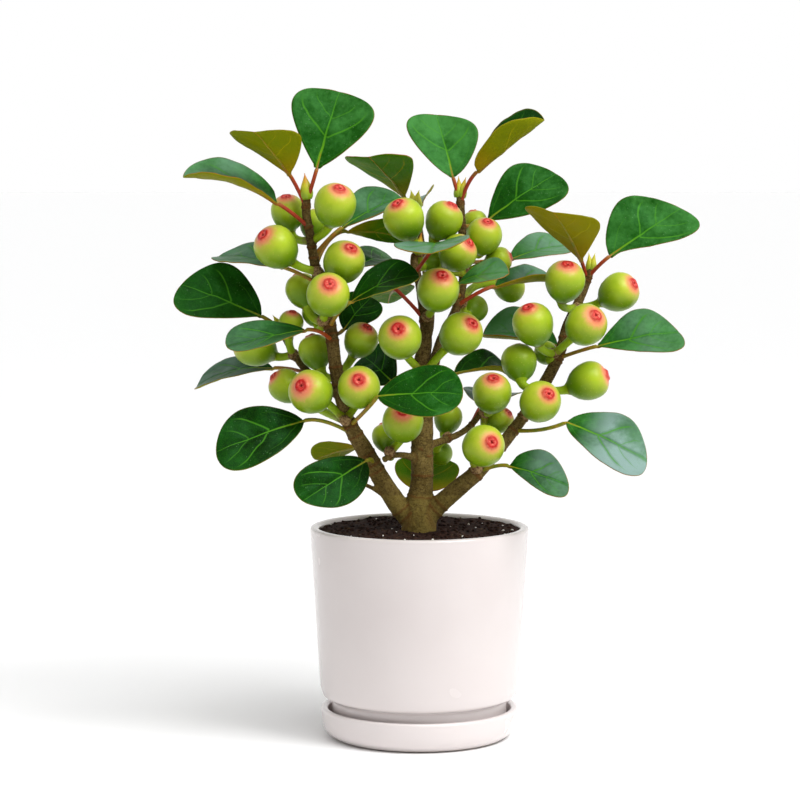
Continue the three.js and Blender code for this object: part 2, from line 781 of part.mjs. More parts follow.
// A fig's outline, as shares of its radius: [across, up], from its neck to the rim of its eye.
const FIG_OUTLINE = [
  [0.34, -1.1],
  [0.8, -0.6],
  [1, 0.06],
  [0.76, 0.66],
  [0.28, 1],
];
const EYE_DIP = 0.8;
const STALK_RINGS = 3;

// A fig on a curved stalk that starts at the knob.
function figSolid({ middle, width, eye }, knob) {
  const look = new THREE.Vector3(...eye).normalize();
  const centre = seen(middle);
  const at = (up) => centre.clone().addScaledVector(look, (up * width) / 2);
  const neck = at(-1.2);
  const below = neck.clone().addScaledVector(look, -0.4 * neck.distanceTo(knob));
  const stalk = new THREE.QuadraticBezierCurve3(knob, below, neck);
  const rings = Array.from({ length: STALK_RINGS }, (_, i) => ({
    at: stalk.getPoint(i / STALK_RINGS),
    ahead: stalk.getTangent(i / STALK_RINGS),
    radius: STALK_RADIUS,
  }));
  FIG_OUTLINE.forEach(([across, up]) => {
    rings.push({ at: at(up), ahead: look, radius: (across * width) / 2 });
  });
  rings.at(-1).dip = EYE_DIP;
  return bar(rings, FIG_SEGMENTS);
}

// A bunch: its figs and the small knob on the stem that their stalks share.
const KNOB_RADIUS = 3;
function bunchSolid({ stem, root, lean, figs }) {
  const axil = rootOn(stem, root);
  const away = new THREE.Vector3();
  if (lean) {
    away.set(...lean);
  } else {
    figs.forEach((fig) => away.add(seen(fig.middle).sub(axil).normalize()));
  }
  const place = curves[stem];
  const share = place.getPoints(200).findIndex((point) => point.distanceTo(axil) < 1e-6) / 200;
  const thickness = along(STEMS[stem].knots.map((knot) => knot[3]), share);
  const knob = axil.clone().addScaledVector(away.normalize(), thickness + 1);
  const ball = new THREE.SphereGeometry(KNOB_RADIUS, 5, 3);
  ball.translate(knob.x, knob.y, knob.z);
  return figs
    .map((fig) => figSolid(fig, knob))
    .reduce((joined, fig) => joined.add(fig), solidOf(ball));
}

// A turned piece about the upright axis, from its outline of [radius, height] points.
function turned(outline, segments = POT_SEGMENTS) {
  const profile = outline.map(([radius, height]) => new THREE.Vector2(radius, height));
  return new THREE.LatheGeometry(profile, segments).rotateX(Math.PI / 2);
}

// Pot.
const SAUCER_TOP = SAUCER_FLOOR + SEAT_GAP;
const soilTop = POT_RIM_HEIGHT - SOIL_DROP;
const insideRadiusAt = (height) =>
  THREE.MathUtils.mapLinear(
    height,
    POT_WAIST_HEIGHT,
    POT_RIM_HEIGHT,
    POT_WAIST_RADIUS,
    POT_RIM_RADIUS,
  ) - POT_WALL;
const potFloor = SAUCER_TOP + POT_UNDERSIDE + POT_FLOOR;
const bowlFoot = POT_FOOT_RADIUS - 2 * POT_WALL;

function potGeometry() {
  const rim = POT_RIM_HEIGHT;
  const foot = POT_FOOT_RADIUS;
  const waist = POT_WAIST_RADIUS;
  const underside = SAUCER_TOP + POT_UNDERSIDE;
  const wallStart = potFloor + POT_BOWL_HEIGHT;
  return turned([
    [DRAIN_RADIUS, underside],
    [foot - POT_FOOT_RING - POT_FOOT_EDGE, underside],
    [foot - POT_FOOT_RING, SAUCER_TOP],
    [foot - POT_FOOT_EDGE, SAUCER_TOP],
    [foot, SAUCER_TOP + POT_FOOT_EDGE],
    [foot, POT_WAIST_HEIGHT - POT_SHOULDER_DROP],
    [THREE.MathUtils.lerp(foot, waist, 0.56), POT_WAIST_HEIGHT - POT_SHOULDER_DROP * 0.73],
    [waist - POT_FOOT_EDGE, POT_WAIST_HEIGHT - POT_SHOULDER_RISE],
    [waist, POT_WAIST_HEIGHT + POT_SHOULDER_RISE],
    [POT_RIM_RADIUS, rim - POT_RIM_ROUND],
    [POT_RIM_RADIUS - POT_RIM_EDGE / 2, rim - POT_RIM_EDGE],
    [POT_RIM_RADIUS - POT_WALL / 2, rim],
    [insideRadiusAt(rim) + POT_RIM_EDGE / 2, rim - POT_RIM_EDGE],
    [insideRadiusAt(rim - POT_RIM_ROUND), rim - POT_RIM_ROUND],
    [insideRadiusAt(wallStart), wallStart],
    [bowlFoot + POT_BOWL_CORNER, potFloor + POT_BOWL_CORNER],
    [bowlFoot, potFloor],
    [DRAIN_RADIUS, potFloor],
    [DRAIN_RADIUS, underside],
  ]);
}

function saucerGeometry() {
  const inside = SAUCER_RADIUS - SAUCER_WALL;
  const under = [
    [6, 0],
    [3.2, 0.9],
    [1.2, 3],
    [0.3, 6],
  ];
  return turned([
    [0, 0],
    ...under.map(([inward, height]) => [SAUCER_RADIUS - inward, height]),
    [SAUCER_RADIUS, SAUCER_HEIGHT - SAUCER_RIM_ROUND],
    [SAUCER_RADIUS - SAUCER_RIM_ROUND / 2, SAUCER_HEIGHT - SAUCER_RIM_ROUND / 4],
    [SAUCER_RADIUS - SAUCER_WALL / 2, SAUCER_HEIGHT],
    [inside, SAUCER_HEIGHT - SAUCER_RIM_ROUND],
    [inside - SAUCER_CORNER / 2, SAUCER_FLOOR + SAUCER_CORNER],
    [inside - 1.5 * SAUCER_CORNER, SAUCER_FLOOR],
    [0, SAUCER_FLOOR],
  ]);
}

// Soil: fills the pot to just below its rim, with an uneven top and a hole for the stem.
const SOIL_EDGE_DROP = 0.8;
const SOIL_SHARES = [
  [0.8, 0.3],
  [0.52, 0.7],
  [0, 1],
];
const LUMPY_FROM = soilTop - SOIL_EDGE_DROP / 2;
function soilSolid(stemAxis) {
  const edge = insideRadiusAt(soilTop) - SOIL_ROOM;
  const low = potFloor + SEAT_GAP;
  const foot = bowlFoot - SOIL_ROOM;
  const wallStart = potFloor + POT_BOWL_HEIGHT;
  const outline = [
    [0, low],
    [foot, low],
    [foot + POT_BOWL_CORNER - SOIL_ROOM / 2, low + POT_BOWL_CORNER],
    [insideRadiusAt(wallStart) - SOIL_ROOM, wallStart],
    [edge, soilTop - SOIL_EDGE_DROP],
    ...SOIL_SHARES.map(([across, up]) => [edge * across, soilTop + SOIL_DOME * up]),
  ];
  const geometry = turned(outline, SOIL_SEGMENTS);
  const position = geometry.attributes.position;
  for (let i = 0; i < position.count; i++) {
    const [x, y, z] = [position.getX(i), position.getY(i), position.getZ(i)];
    if (z > LUMPY_FROM) {
      const [short, cross, long, slope] = SOIL_LUMP_WAVES;
      const lump = Math.sin(x * short + 1) * Math.cos(y * cross) + Math.sin(x * long - y * slope);
      position.setZ(i, z + SOIL_LUMP * lump);
    }
  }
  const depth = soilTop + 2 * SOIL_DOME - stemAxis.z;
  const hole = new THREE.CylinderGeometry(TRUNK_HOLE_RADIUS, TRUNK_HOLE_RADIUS, 2 * depth, 16)
    .rotateX(Math.PI / 2)
    .translate(stemAxis.x, stemAxis.y, stemAxis.z - SEAT_GAP + depth);
  return solidOf(geometry).subtract(solidOf(hole));
}

// Materials.
const material = (color, roughness) =>
  new THREE.MeshStandardMaterial({ color, roughness, metalness: 0 });
const glaze = material(0xf3ecea, 0.15);
const earth = material(0x2a1d18, 0.95);
const bark = material(0x6b5236, 0.8);
const leafGreen = material(0x1f6b2c, 0.4);
const leafOlive = material(0x7d7a14, 0.5);
const figGreen = material(0x9fb52a, 0.35);
const OLIVE_LEAVES = [
  "leaf_left_crown_front",
  "leaf_back_crown",
  "leaf_middle_crown_front",
  "leaf_right_crown_front",
  "leaf_low_behind",
  "leaf_low_back",
  "leaf_left_inner_olive",
];

// Assembly.
const bonsai = new THREE.Group();
bonsai.name = "mistletoe_fig_bonsai";
function place(name, geometry, finish) {
  const mesh = new THREE.Mesh(geometry, finish);
  mesh.name = name;
  bonsai.add(mesh);
}

const clearance = woodWithBuds(SEAT_GAP);
place("saucer", saucerGeometry(), glaze);
place("pot", potGeometry(), glaze);
place("soil", geometryOf(soilSolid(seen(STEMS.trunk.knots[0]))), earth);
place("stem", geometryOf(woodWithBuds(0)), bark);
for (const [name, leaf] of Object.entries(LEAVES)) {
  const finish = OLIVE_LEAVES.includes(name) ? leafOlive : leafGreen;
  place(name, geometryOf(leafSolid(leaf).subtract(clearance)), finish);
}
for (const [name, bunch] of Object.entries(FIGS)) {
  place(name, geometryOf(bunchSolid(bunch).subtract(clearance)), figGreen);
}

export default bonsai;
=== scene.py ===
"""A potted mistletoe fig bonsai, dressed for its render.

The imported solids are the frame, in metres, with the origin under the middle of the saucer and -Y to
the front. Each class builds the fine pieces of one part of the plant in their own place. Places on
the plant are read from the front view as (column, row, depth). Depths and all other sizes are in
millimetres, unless a docstring says metres.
"""

import logging
import math
import random
from collections.abc import Callable, Sequence
from dataclasses import dataclass
from enum import Enum, IntEnum

import bmesh
import bpy
from mathutils import Matrix, Vector
from mathutils.kdtree import KDTree
from mathutils.noise import noise


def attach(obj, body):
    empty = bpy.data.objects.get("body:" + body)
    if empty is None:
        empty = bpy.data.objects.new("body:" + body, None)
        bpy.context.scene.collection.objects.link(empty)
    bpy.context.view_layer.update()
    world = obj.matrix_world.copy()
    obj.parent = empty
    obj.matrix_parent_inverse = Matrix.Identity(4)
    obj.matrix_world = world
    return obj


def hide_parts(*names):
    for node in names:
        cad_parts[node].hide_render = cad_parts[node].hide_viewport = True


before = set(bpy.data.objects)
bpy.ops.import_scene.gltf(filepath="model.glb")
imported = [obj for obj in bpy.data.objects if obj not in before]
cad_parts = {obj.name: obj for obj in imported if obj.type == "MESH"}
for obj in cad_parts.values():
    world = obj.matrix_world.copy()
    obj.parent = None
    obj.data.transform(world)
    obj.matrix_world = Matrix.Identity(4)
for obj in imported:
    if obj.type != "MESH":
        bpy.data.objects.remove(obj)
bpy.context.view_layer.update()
log = logging.getLogger("bonsai")

MM = 0.001
BODY = "root"

# A pixel is (column, row), a place (column, row, depth) and a corner (radius, height, rounding).
Pixel = tuple[float, float]
Place = tuple[float, float, float]
Corner = tuple[float, float, float]
Colour = tuple[float, float, float]


class Slot(Enum):
    """The record's material slots."""

    GLAZE = "white_glaze"
    SOIL = "potting_soil"
    BARK = "bark"
    LEAF_GREEN = "leaf_green"
    LEAF_OLIVE = "leaf_olive"
    FIG = "fig_skin"
    BUD = "bud_scale"
    PERLITE = "perlite"


class LeafPart(IntEnum):
    """The order of a leaf's finishes."""

    UPPER = 0
    UNDER = 1
    PETIOLE = 2


class FigPart(IntEnum):
    """The order of the finishes of a bunch of figs."""

    SKIN = 0
    STALK = 1
    KNOB = 2


@dataclass(frozen=True)
class Leaf:
    """One leaf: where its petiole and blade lie, and the blade's form and colour.

    The wedge is the power by which the blade widens from its base and blunt the power by which its
    far end is cut off. Tone goes from dark at 0 to light at 1, or to green on an olive under face.
    """

    name: str
    stem: str
    root: Pixel
    base: Place
    tip: Place
    face: Place
    width: float
    bend: float
    cup: float
    blunt: float
    via: Place | None = None
    skew: float = 0.0
    slant: float = 0.0
    wedge: float = 0.62
    tone: float = 0.4
    # Share of a silvery painted sheen over the blade.
    painted_sheen: float = 0.0
    below: float = 0.3
    red: float = 0.35
    olive: bool = False


@dataclass(frozen=True)
class Fig:
    """One fig: its middle, its width and the way that its eye looks."""

    middle: Place
    width: float
    look: Place


@dataclass(frozen=True)
class Bunch:
    """The figs that spring from one leaf axil."""

    name: str
    stem: str
    root: Pixel
    figs: tuple[Fig, ...]
    lean: Place | None = None


@dataclass(frozen=True)
class Bud:
    """A bud at the tip of a stem, made of one scale or a pair that part at the top."""

    stem: str
    point: Place
    length: float
    radius: float
    scales: int
    blush: float


# Woody stems from root to tip, as rows of (column, row, depth, radius).
STEMS = {
    "trunk": (
        (419, 573, -12, 8.2), (419, 552, -12, 8.2), (419, 534, -12, 8.7), (419, 517, -12, 8.8),
        (420, 499, -12, 6.6), (422, 480, -12, 5.5), (422, 452, -12, 5.6), (423, 410, -12, 5.2),
        (422, 366, -11, 4.4), (426, 334, -9, 3.1), (424, 311, -8, 2.8), (420, 285, -6, 2.4),
        (414, 260, -4, 2.0), (419, 248, -3, 1.6),
    ),
    "left": (
        (417, 524, -12, 5.2), (403, 511, -12, 5.3), (383, 482, -14, 4.6), (364, 449, -17, 4.4),
        (351, 427, -19, 3.8), (345, 412, -20, 3.2), (338, 384, -20, 3.3), (335, 362, -20, 3.3),
        (330, 327, -18, 3.3), (322, 298, -17, 2.9), (315, 265, -17, 2.5), (310, 235, -18, 2.3),
        (306, 210, -19, 2.2), (307, 196, -20, 2.1),
    ),
    "right": (
        (422, 522, -12, 5.0), (438, 506, -12, 4.8), (457, 489, -12, 4.5), (474, 475, -11, 4.2),
        (490, 458, -9, 3.6), (505, 441, -6, 3.2), (521, 420, -2, 3.0), (538, 394, 3, 3.1),
        (552, 370, 8, 3.1), (561, 350, 12, 2.8), (567, 326, 16, 2.6), (578, 303, 20, 2.4),
        (586, 283, 23, 2.3), (591, 269, 24, 2.1),
    ),
    "middle": (
        (424, 388, -11, 3.2), (434, 362, -4, 2.8), (442, 338, 3, 2.5), (456, 309, 8, 2.3),
        (463, 281, 11, 2.3), (463, 245, 13, 2.2), (461, 215, 15, 2.2), (460, 195, 16, 2.0),
    ),
    "back": (
        (423, 352, -9, 2.6), (430, 322, 6, 2.3), (427, 280, 24, 2.1), (421, 240, 38, 1.9),
        (415, 206, 46, 1.7),
    ),
    "left_twig": (
        (338, 396, -19, 2.2), (322, 382, -8, 2.1), (306, 370, 2, 2.0), (294, 354, 8, 1.9),
        (285, 338, 12, 1.7), (279, 324, 14, 1.5),
    ),
    "right_twig": (
        (424, 447, -12, 2.2), (444, 440, -6, 1.8), (461, 433, -2, 1.7), (475, 421, 2, 1.6),
        (482, 411, 3, 1.5),
    ),
    "inner_twig": (
        (420, 459, -13, 2.2), (402, 455, -18, 1.6), (391, 456, -22, 1.6), (383, 460, -24, 1.7),
    ),
    "stub": (
        (384, 495, -13, 1.5), (374, 489, -17, 1.2), (364, 484, -20, 1.1),
    ),
}

# Stem, point, length, greatest radius, scales and blush of each bud.
BUDS = (
    Bud("left", (-0.1, -0.1, 1), 11.5, 3.1, 1, 0.9),
    Bud("middle", (0.12, 0, 1), 9.5, 2.8, 2, 0.5),
    Bud("right", (0.05, 0, 1), 8.5, 2.4, 2, 0.1),
    Bud("trunk", (0.15, -0.2, 1), 8, 1.9, 1, 1.0),
    Bud("back", (0, 0, 1), 8.5, 3.2, 2, 0.0),
    Bud("left_twig", (-0.6, -0.3, 0.9), 6, 1.6, 1, 0.3),
)

# Leaves: name, stem, petiole root, blade base, blade tip, face, width, bend, cup and bluntness.
# A leaf's silvery look, where it has one, is a painted sheen.
LEAVES = (
    Leaf("left_crown", "left", (307, 204), (317, 168, -24), (339.5, 92, -12), (-0.1, -1, 0.3), 42,
         0.1, 0.08, 4, skew=0.05, wedge=0.78, tone=0.66, red=0.9),
    Leaf("left_crown_front", "left", (306, 207), (289, 174, -26), (254, 132, -54), (0.2, 0.4, 1),
         38, 0.1, 0.08, 5, wedge=0.8, red=0.95, olive=True),
    Leaf("left_upper", "left", (308, 227), (277, 203, -26), (183, 177, -34), (0.05, -0.22, 1), 30,
         0.22, 0.2, 3, skew=0.45, tone=0.75, painted_sheen=0.25, red=1.0),
    Leaf("left_behind", "left", (319, 285), (282, 267, -4), (219, 256, 20), (0, -0.4, 1), 28, 0.1,
         0.1, 3, tone=0.6, painted_sheen=0.2, red=0.5),
    Leaf("left_round", "left_twig", (281, 330), (261, 316, 10), (181, 285, 2), (-0.05, -0.85, 0.5),
         34, 0.1, 0.08, 3.4, skew=0.3, slant=-0.15, wedge=0.75, tone=0.38, red=0.4),
    Leaf("left_middle", "left", (332, 342), (305, 330, -34), (227, 348, -46), (0.05, -0.45, 1), 26,
         0.1, 0.1, 3, tone=0.58, painted_sheen=0.12, red=0.75),
    Leaf("left_narrow", "left_twig", (311, 374), (272, 368, 18), (197, 387, 34), (0.15, -0.5, 1),
         27, 0.2, 0.1, 3, tone=0.45, painted_sheen=0.3, red=0.6),
    Leaf("left_low", "left", (356, 436), (303, 421, -28), (216, 452, -42), (-0.1, -0.9, 0.4), 30.5,
         0.1, 0.08, 3, slant=-0.12, wedge=0.58, tone=0.15, red=0.1),
    Leaf("low_front", "left", (373, 465), (366, 461, -29), (303, 501, -50), (0.05, -0.95, 0.3), 27,
         0.1, 0.06, 2.4, skew=-0.12, slant=0.14, wedge=0.55, tone=0.15, red=0.0),
    Leaf("low_behind", "left", (366, 453), (357, 447, 2), (315, 459, 20), (0, 0.6, 0.8), 17, 0.1,
         0.1, 3.4, tone=0.5, red=0.1, olive=True),
    Leaf("low_back", "trunk", (422, 474), (424, 492, 8), (429, 459, 30), (0, 0.7, -0.6), 33, 0,
         -0.1, 3, wedge=0.32, tone=0.9, red=0.1, olive=True),
    Leaf("left_inner", "left", (314, 257), (343, 227, -11), (403, 199, 7), (0, -0.4, 1), 31, 0.15,
         0.15, 3, tone=0.75, painted_sheen=0.25, red=0.5),
    Leaf("left_inner_olive", "left", (316, 267), (348, 231, 3), (411, 238, 16), (0.1, 0.55, 0.85),
         27, 0.1, 0.1, 5, tone=0.95, red=0.5, olive=True),
    Leaf("left_inner_back", "left", (321, 291), (350, 268, 6), (396, 262, 40), (0, -0.6, 0.8), 24,
         0.2, 0.1, 3, tone=0.5, below=0.8, red=0.5),
    Leaf("inner_dark", "left", (331, 326), (352, 301, -34), (419, 275, -32), (0.1, -0.45, 1), 30,
         0.2, 0.12, 2.6, tone=0.22, red=0.45),
    Leaf("inner_olive", "trunk", (425, 320), (394, 289, -4), (388, 303, 32), (-0.1, -0.4, 1), 27,
         0.1, 0.1, 4, tone=0.95, below=1.0, red=1.0),
    Leaf("inner_shade", "left", (331, 335), (344, 329, -4), (371, 297, 6), (-0.3, -0.8, 0.4), 24,
         0.1, 0.05, 3, tone=0.2, red=0.5),
    Leaf("inner_low", "trunk", (423, 396), (394, 383, 2), (364, 356, 22), (-0.2, -0.9, 0.4), 26,
         0.1, 0.08, 3, tone=0.2, red=0.4),
    Leaf("front", "left", (350, 426), (378, 396, -48), (463, 394, -57), (0.03, -0.8, 0.6), 30, 0.1,
         0.08, 2.6, via=(368, 409, -40), wedge=0.58, tone=0.45, red=0.4),
    Leaf("front_crown", "trunk", (417, 272), (437, 243, -20), (431, 254, -54), (-0.12, -0.16, 1),
         37, 0.1, 0.1, 4, via=(428, 255, -20), tone=0.85, painted_sheen=0.4, red=0.9),
    Leaf("back_crown", "back", (416, 214), (404, 197, 40), (369, 157, 8), (0.2, 0.45, 1), 37, 0.1,
         0.08, 6, wedge=0.85, tone=1.0, red=0.6, olive=True),
    Leaf("back_edge", "back", (417, 216), (421, 204, 52), (428, 193, 80), (-0.6, -0.1, 0.8), 14,
         0.1, 0.1, 3, tone=0.6, painted_sheen=0.6, red=0.4),
    Leaf("middle_crown", "middle", (460, 202), (453, 177, 16), (436, 115, 30), (0.1, -1, 0.35), 35,
         0.1, 0.08, 4.4, skew=0.12, slant=-0.14, wedge=0.6, tone=0.85, red=0.85),
    Leaf("middle_crown_front", "middle", (460, 204), (478, 171, 10), (545, 121, -4),
         (-0.45, -0.12, 0.85), 24, 0.05, 0.46, 2.8, wedge=0.45, tone=0.35, red=0.9, olive=True),
    Leaf("middle_right", "middle", (461, 226), (489, 219, 24), (556, 174, 32), (-0.1, -0.85, 0.5),
         32, 0.1, 0.08, 3.2, slant=0.12, wedge=0.7, tone=0.56, red=0.5),
    Leaf("middle_far", "middle", (463, 262), (511, 259, 34), (568, 245, 60), (0, -0.55, 0.85), 24,
         0.1, 0.1, 3, via=(482, 262, 28), tone=0.9, painted_sheen=0.3, red=0.6),
    Leaf("centre_right", "middle", (460, 296), (458, 283, -18), (509, 273, -40), (0, -0.6, 0.8),
         24, 0.15, 0.1, 3, slant=0.2, tone=0.85, painted_sheen=0.15, red=0.5),
    Leaf("right_long", "middle", (457, 306), (496, 286, 6), (557, 283, 30), (0, -0.25, 1), 22,
         0.12, 0.28, 3, tone=0.65, painted_sheen=0.4, red=0.85),
    Leaf("right_behind", "right", (565, 338), (557, 345, 32), (483, 334, 44), (0, -0.45, 0.9), 32,
         0.15, 0.25, 3, tone=1.0, painted_sheen=0.3, red=0.4),
    Leaf("right_shade", "middle", (434, 362), (455, 373, 8), (513, 378, 32), (0, -0.35, 0.9), 25,
         0.25, 0.25, 3, tone=0.2, red=0.4),
    Leaf("twig_back", "right_twig", (471, 424), (482, 405, 20), (497, 393, 50), (0.05, -0.12, 1),
         31, 0.1, 0.08, 4, tone=0.35, painted_sheen=0.3, red=0.9),
    Leaf("right_crown", "right", (590, 278), (610, 256, 20), (681, 209, 28), (-0.05, -0.9, 0.4),
         35, 0.1, 0.08, 3.2, skew=-0.45, slant=0.2, wedge=0.9, tone=0.7, red=0.85),
    Leaf("right_crown_front", "right", (589, 281), (581, 260, 18), (554, 212, -14), (0.25, 0.4, 1),
         37, 0.1, 0.08, 5, slant=0.12, wedge=0.85, tone=0.08, red=0.95, olive=True),
    Leaf("right_middle", "right", (559, 359), (598, 346, 4), (679, 332, -4), (0, -0.75, 0.65), 30,
         0.1, 0.1, 3, skew=-0.12, slant=0.2, wedge=0.85, tone=0.85, painted_sheen=0.2, red=0.5),
    Leaf("right_low", "right", (513, 431), (567, 422, -18), (647, 461, -34), (0.25, -0.85, 0.5),
         31, 0.1, 0.08, 3.4, via=(543, 433, -12), skew=-0.05, slant=0.18, wedge=0.56, tone=0.72,
         painted_sheen=0.8, red=0.2),
    Leaf("right_lowest", "right", (476, 474), (509, 466, -22), (569, 486, -46), (0.05, -0.85, 0.5),
         22, 0.1, 0.08, 3.4, skew=-0.5, slant=0.24, wedge=0.65, tone=0.62, painted_sheen=0.35, red=0.15),
)

# Figs, by the leaf axil that they spring from.
BUNCHES = (
    Bunch("left_crown", "left", (313, 247), (
        Fig((335, 205, -32), 20.6, (0.24, -0.58, 0.78)),
        Fig((288, 212, -8), 17, (-0.1, -0.4, 0.9)),
        Fig((314, 224, 0), 14.5, (0.1, 0.4, 0.9)),
    )),
    Bunch("left_upper", "left", (317, 277), (
        Fig((276, 247, -28), 21, (-0.58, -0.57, 0.58)),
        Fig((344, 262, -23), 20.6, (0.34, -0.64, 0.68)),
    )),
    Bunch("left_middle", "left", (330, 324), (
        Fig((328, 295, -39), 21.2, (0.1, -0.84, 0.53)),
        Fig((302, 290, 0), 16.5, (-0.3, 0.3, 0.9)),
        Fig((315, 313, 0), 13, (-0.2, 0.6, 0.7)),
    ), lean=(-0.7, -0.6, 0.3)),
    Bunch("left_inner", "left", (338, 385), (
        Fig((315, 351, -4), 16.5, (-0.3, 0.2, 0.93)),
        Fig((361, 340, -12), 17, (0.38, -0.5, 0.76)),
    )),
    Bunch("left_low", "left", (348, 421), (
        Fig((311, 392, -33), 21.6, (-0.42, -0.84, 0.35)),
        Fig((359, 388, -33), 21, (0, -0.89, 0.45)),
        Fig((286, 386, -4), 17, (-0.76, -0.25, 0.6)),
    ), lean=(-0.3, -1, 0.2)),
    Bunch("left_twig", "left_twig", (297, 358), (
        Fig((254, 346, 4), 20.5, (-0.8, -0.3, 0.4)),
        Fig((291, 323, -2), 12.5, (0.15, -0.35, 0.9)),
    )),
    Bunch("inner_twig", "inner_twig", (389, 457), (
        Fig((403, 422, -30), 20.3, (0, -0.8, 0.6)),
        Fig((386, 437, -8), 14, (-0.2, 0.3, 0.9)),
    )),
    Bunch("right_twig", "right_twig", (449, 438), (
        Fig((448, 418, 8), 14.5, (0.2, 0.3, 0.9)),
        Fig((440, 453, 8), 12.5, (0.2, 0.7, -0.3)),
    )),
    Bunch("right_twig_end", "right_twig", (480, 414), (
        Fig((492, 393, -10), 19.6, (0.05, -0.6, 0.8)),
        Fig((500, 420, 6), 13.5, (0.65, -0.4, 0.6)),
    )),
    Bunch("centre", "trunk", (422, 384), (
        Fig((400, 338, -30), 21.5, (-0.09, -0.88, 0.47)),
        Fig((461, 334, -24), 21, (0.51, -0.66, 0.54)),
    )),
    Bunch("centre_upper", "trunk", (425, 321), (Fig((438, 290, -26), 21, (0.19, -0.68, 0.71)),)),
    Bunch("centre_crown", "trunk", (415, 256), (
        Fig((404, 219, -24), 20.2, (-0.32, -0.55, 0.77)),
        Fig((434, 263, 8), 12, (0.7, 0.6, 0.2)),
    )),
    Bunch("middle_crown", "middle", (463, 247), (
        Fig((444, 220, -2), 18.5, (0.44, -0.35, 0.82)),
        Fig((484, 236, 4), 18, (0.2, -0.55, 0.8)),
        Fig((475, 223, 31), 13, (-0.2, 0.1, 0.97)),
    )),
    Bunch("middle_upper", "middle", (463, 276), (
        Fig((458, 253, -6), 18.3, (0.6, -0.53, 0.6)),
        Fig((499, 260, 11), 13, (0.9, -0.1, 0.3)),
    )),
    Bunch("middle_low", "middle", (459, 303), (
        Fig((510, 288, 44), 15, (0.8, 0.4, -0.2)),
        Fig((474, 309, 26), 14, (0.4, 0.8, 0.3)),
    )),
    Bunch("right_lowest", "right", (474, 474), (Fig((483, 446, -32), 20.8, (0.39, -0.88, 0.27)),)),
    Bunch("right_low", "right", (523, 417), (Fig((540, 402, -18), 20.4, (0.37, -0.8, 0.47)),)),
    Bunch("right_inner", "right", (541, 389), (
        Fig((519, 362, 0), 18, (-0.1, 0.5, 0.85)),
        Fig((589, 381, -2), 19.6, (0.9, -0.2, 0.36)),
    ), lean=(0.2, -1, 0.1)),
    Bunch("right_middle", "right", (557, 361), (
        Fig((533, 324, -6), 20.6, (-0.27, -0.48, 0.83)),
        Fig((586, 325, -8), 20.6, (0.44, -0.74, 0.51)),
        Fig((546, 353, 16), 12, (-0.2, 0.8, 0.4)),
    )),
    Bunch("right_crown", "right", (573, 311), (
        Fig((565, 281, -2), 20, (0.1, -0.52, 0.85)),
        Fig((619, 292, 10), 19.6, (0.74, -0.5, 0.46)),
    )),
)


@dataclass(frozen=True)
class View:
    """The front view that places are read from: square, and seen from a little above the crown."""

    size: int = 800
    focal: float = 2670
    eye: Place = (-9.8, -1338, 284)
    tilt: float = math.radians(4.85)
    sensor: float = 36.0

    def seen(self, place: Place) -> Vector:
        """Finds the point that the view shows.

        Args:
            place: Column, row and depth behind the pot's axis in millimetres.

        Returns:
            The point in metres.
        """
        column, row, depth = place
        across = (column - self.size / 2) / self.focal
        up = (self.size / 2 - row) / self.focal
        sine, cosine = math.sin(self.tilt), math.cos(self.tilt)
        ray = Vector((across, cosine + up * sine, up * cosine - sine))
        eye = Vector(self.eye)
        return (eye + ray * ((depth - eye.y) / ray.y)) * MM

    def pixel(self, point: Vector) -> Vector:
        """Finds where the view shows a point.

        Args:
            point: The point in metres.

        Returns:
            Its column and row.
        """
        ray = point / MM - Vector(self.eye)
        sine, cosine = math.sin(self.tilt), math.cos(self.tilt)
        ahead, up = ray.y * cosine - ray.z * sine, ray.y * sine + ray.z * cosine
        middle = self.size / 2
        return Vector((middle + self.focal * ray.x / ahead, middle - self.focal * up / ahead))


VIEW = View()


class Course:
    """A smooth curve through a row of points, with a radius at each point."""

    samples = 200
    step = 0.001

    def __init__(self, knots: Sequence[tuple[float, float, float, float]]) -> None:
        """Places the knots.

        Args:
            knots: Rows of (column, row, depth, radius) in the front view.
        """
        points = [VIEW.seen(knot[:3]) for knot in knots]
        first, last = 2 * points[0] - points[1], 2 * points[-1] - points[-2]
        self.points = [first, *points, last]
        self.radii = [knot[3] * MM for knot in knots]

    def span(self, share: float) -> tuple[int, float]:
        """Finds the span between two knots that a share lies in.

        Args:
            share: The share of the way along.

        Returns:
            The span's number and the share of the way along it.
        """
        place = min(max(share, 0.0), 1.0) * (len(self.radii) - 1)
        low = min(int(place), len(self.radii) - 2)
        return low, place - low

    def at(self, share: float) -> Vector:
        """Finds a point of the curve.

        Args:
            share: The share of the way along.

        Returns:
            The point.
        """
        low, t = self.span(share)
        p0, p1, p2, p3 = self.points[low : low + 4]
        d0, d1, d2 = (math.sqrt((b - a).length) for a, b in ((p0, p1), (p1, p2), (p2, p3)))
        start = ((p1 - p0) / d0 - (p2 - p0) / (d0 + d1) + (p2 - p1) / d1) * d1
        end = ((p2 - p1) / d1 - (p3 - p1) / (d1 + d2) + (p3 - p2) / d2) * d1
        return (
            p1 * (2 * t**3 - 3 * t**2 + 1)
            + start * (t**3 - 2 * t**2 + t)
            + p2 * (3 * t**2 - 2 * t**3)
            + end * (t**3 - t**2)
        )

    def ring(self, share: float) -> "Ring":
        """Returns the ring at a share of the way along."""
        return Ring(self.at(share), self.ahead(share), self.radius(share), share)

    def ahead(self, share: float) -> Vector:
        """Returns the direction at a share of the way along."""
        return (self.at(share + self.step) - self.at(share - self.step)).normalized()

    def radius(self, share: float) -> float:
        """Returns the radius at a share of the way along."""
        low, t = self.span(share)
        return self.radii[low] + (self.radii[low + 1] - self.radii[low]) * t

    def nearest(self, pixel: Pixel) -> float:
        """Returns the share at which the view shows the curve nearest to a pixel."""
        shares = [step / self.samples for step in range(self.samples + 1)]
        return min(shares, key=lambda share: (VIEW.pixel(self.at(share)) - Vector(pixel)).length)


COURSES = {name: Course(knots) for name, knots in STEMS.items()}


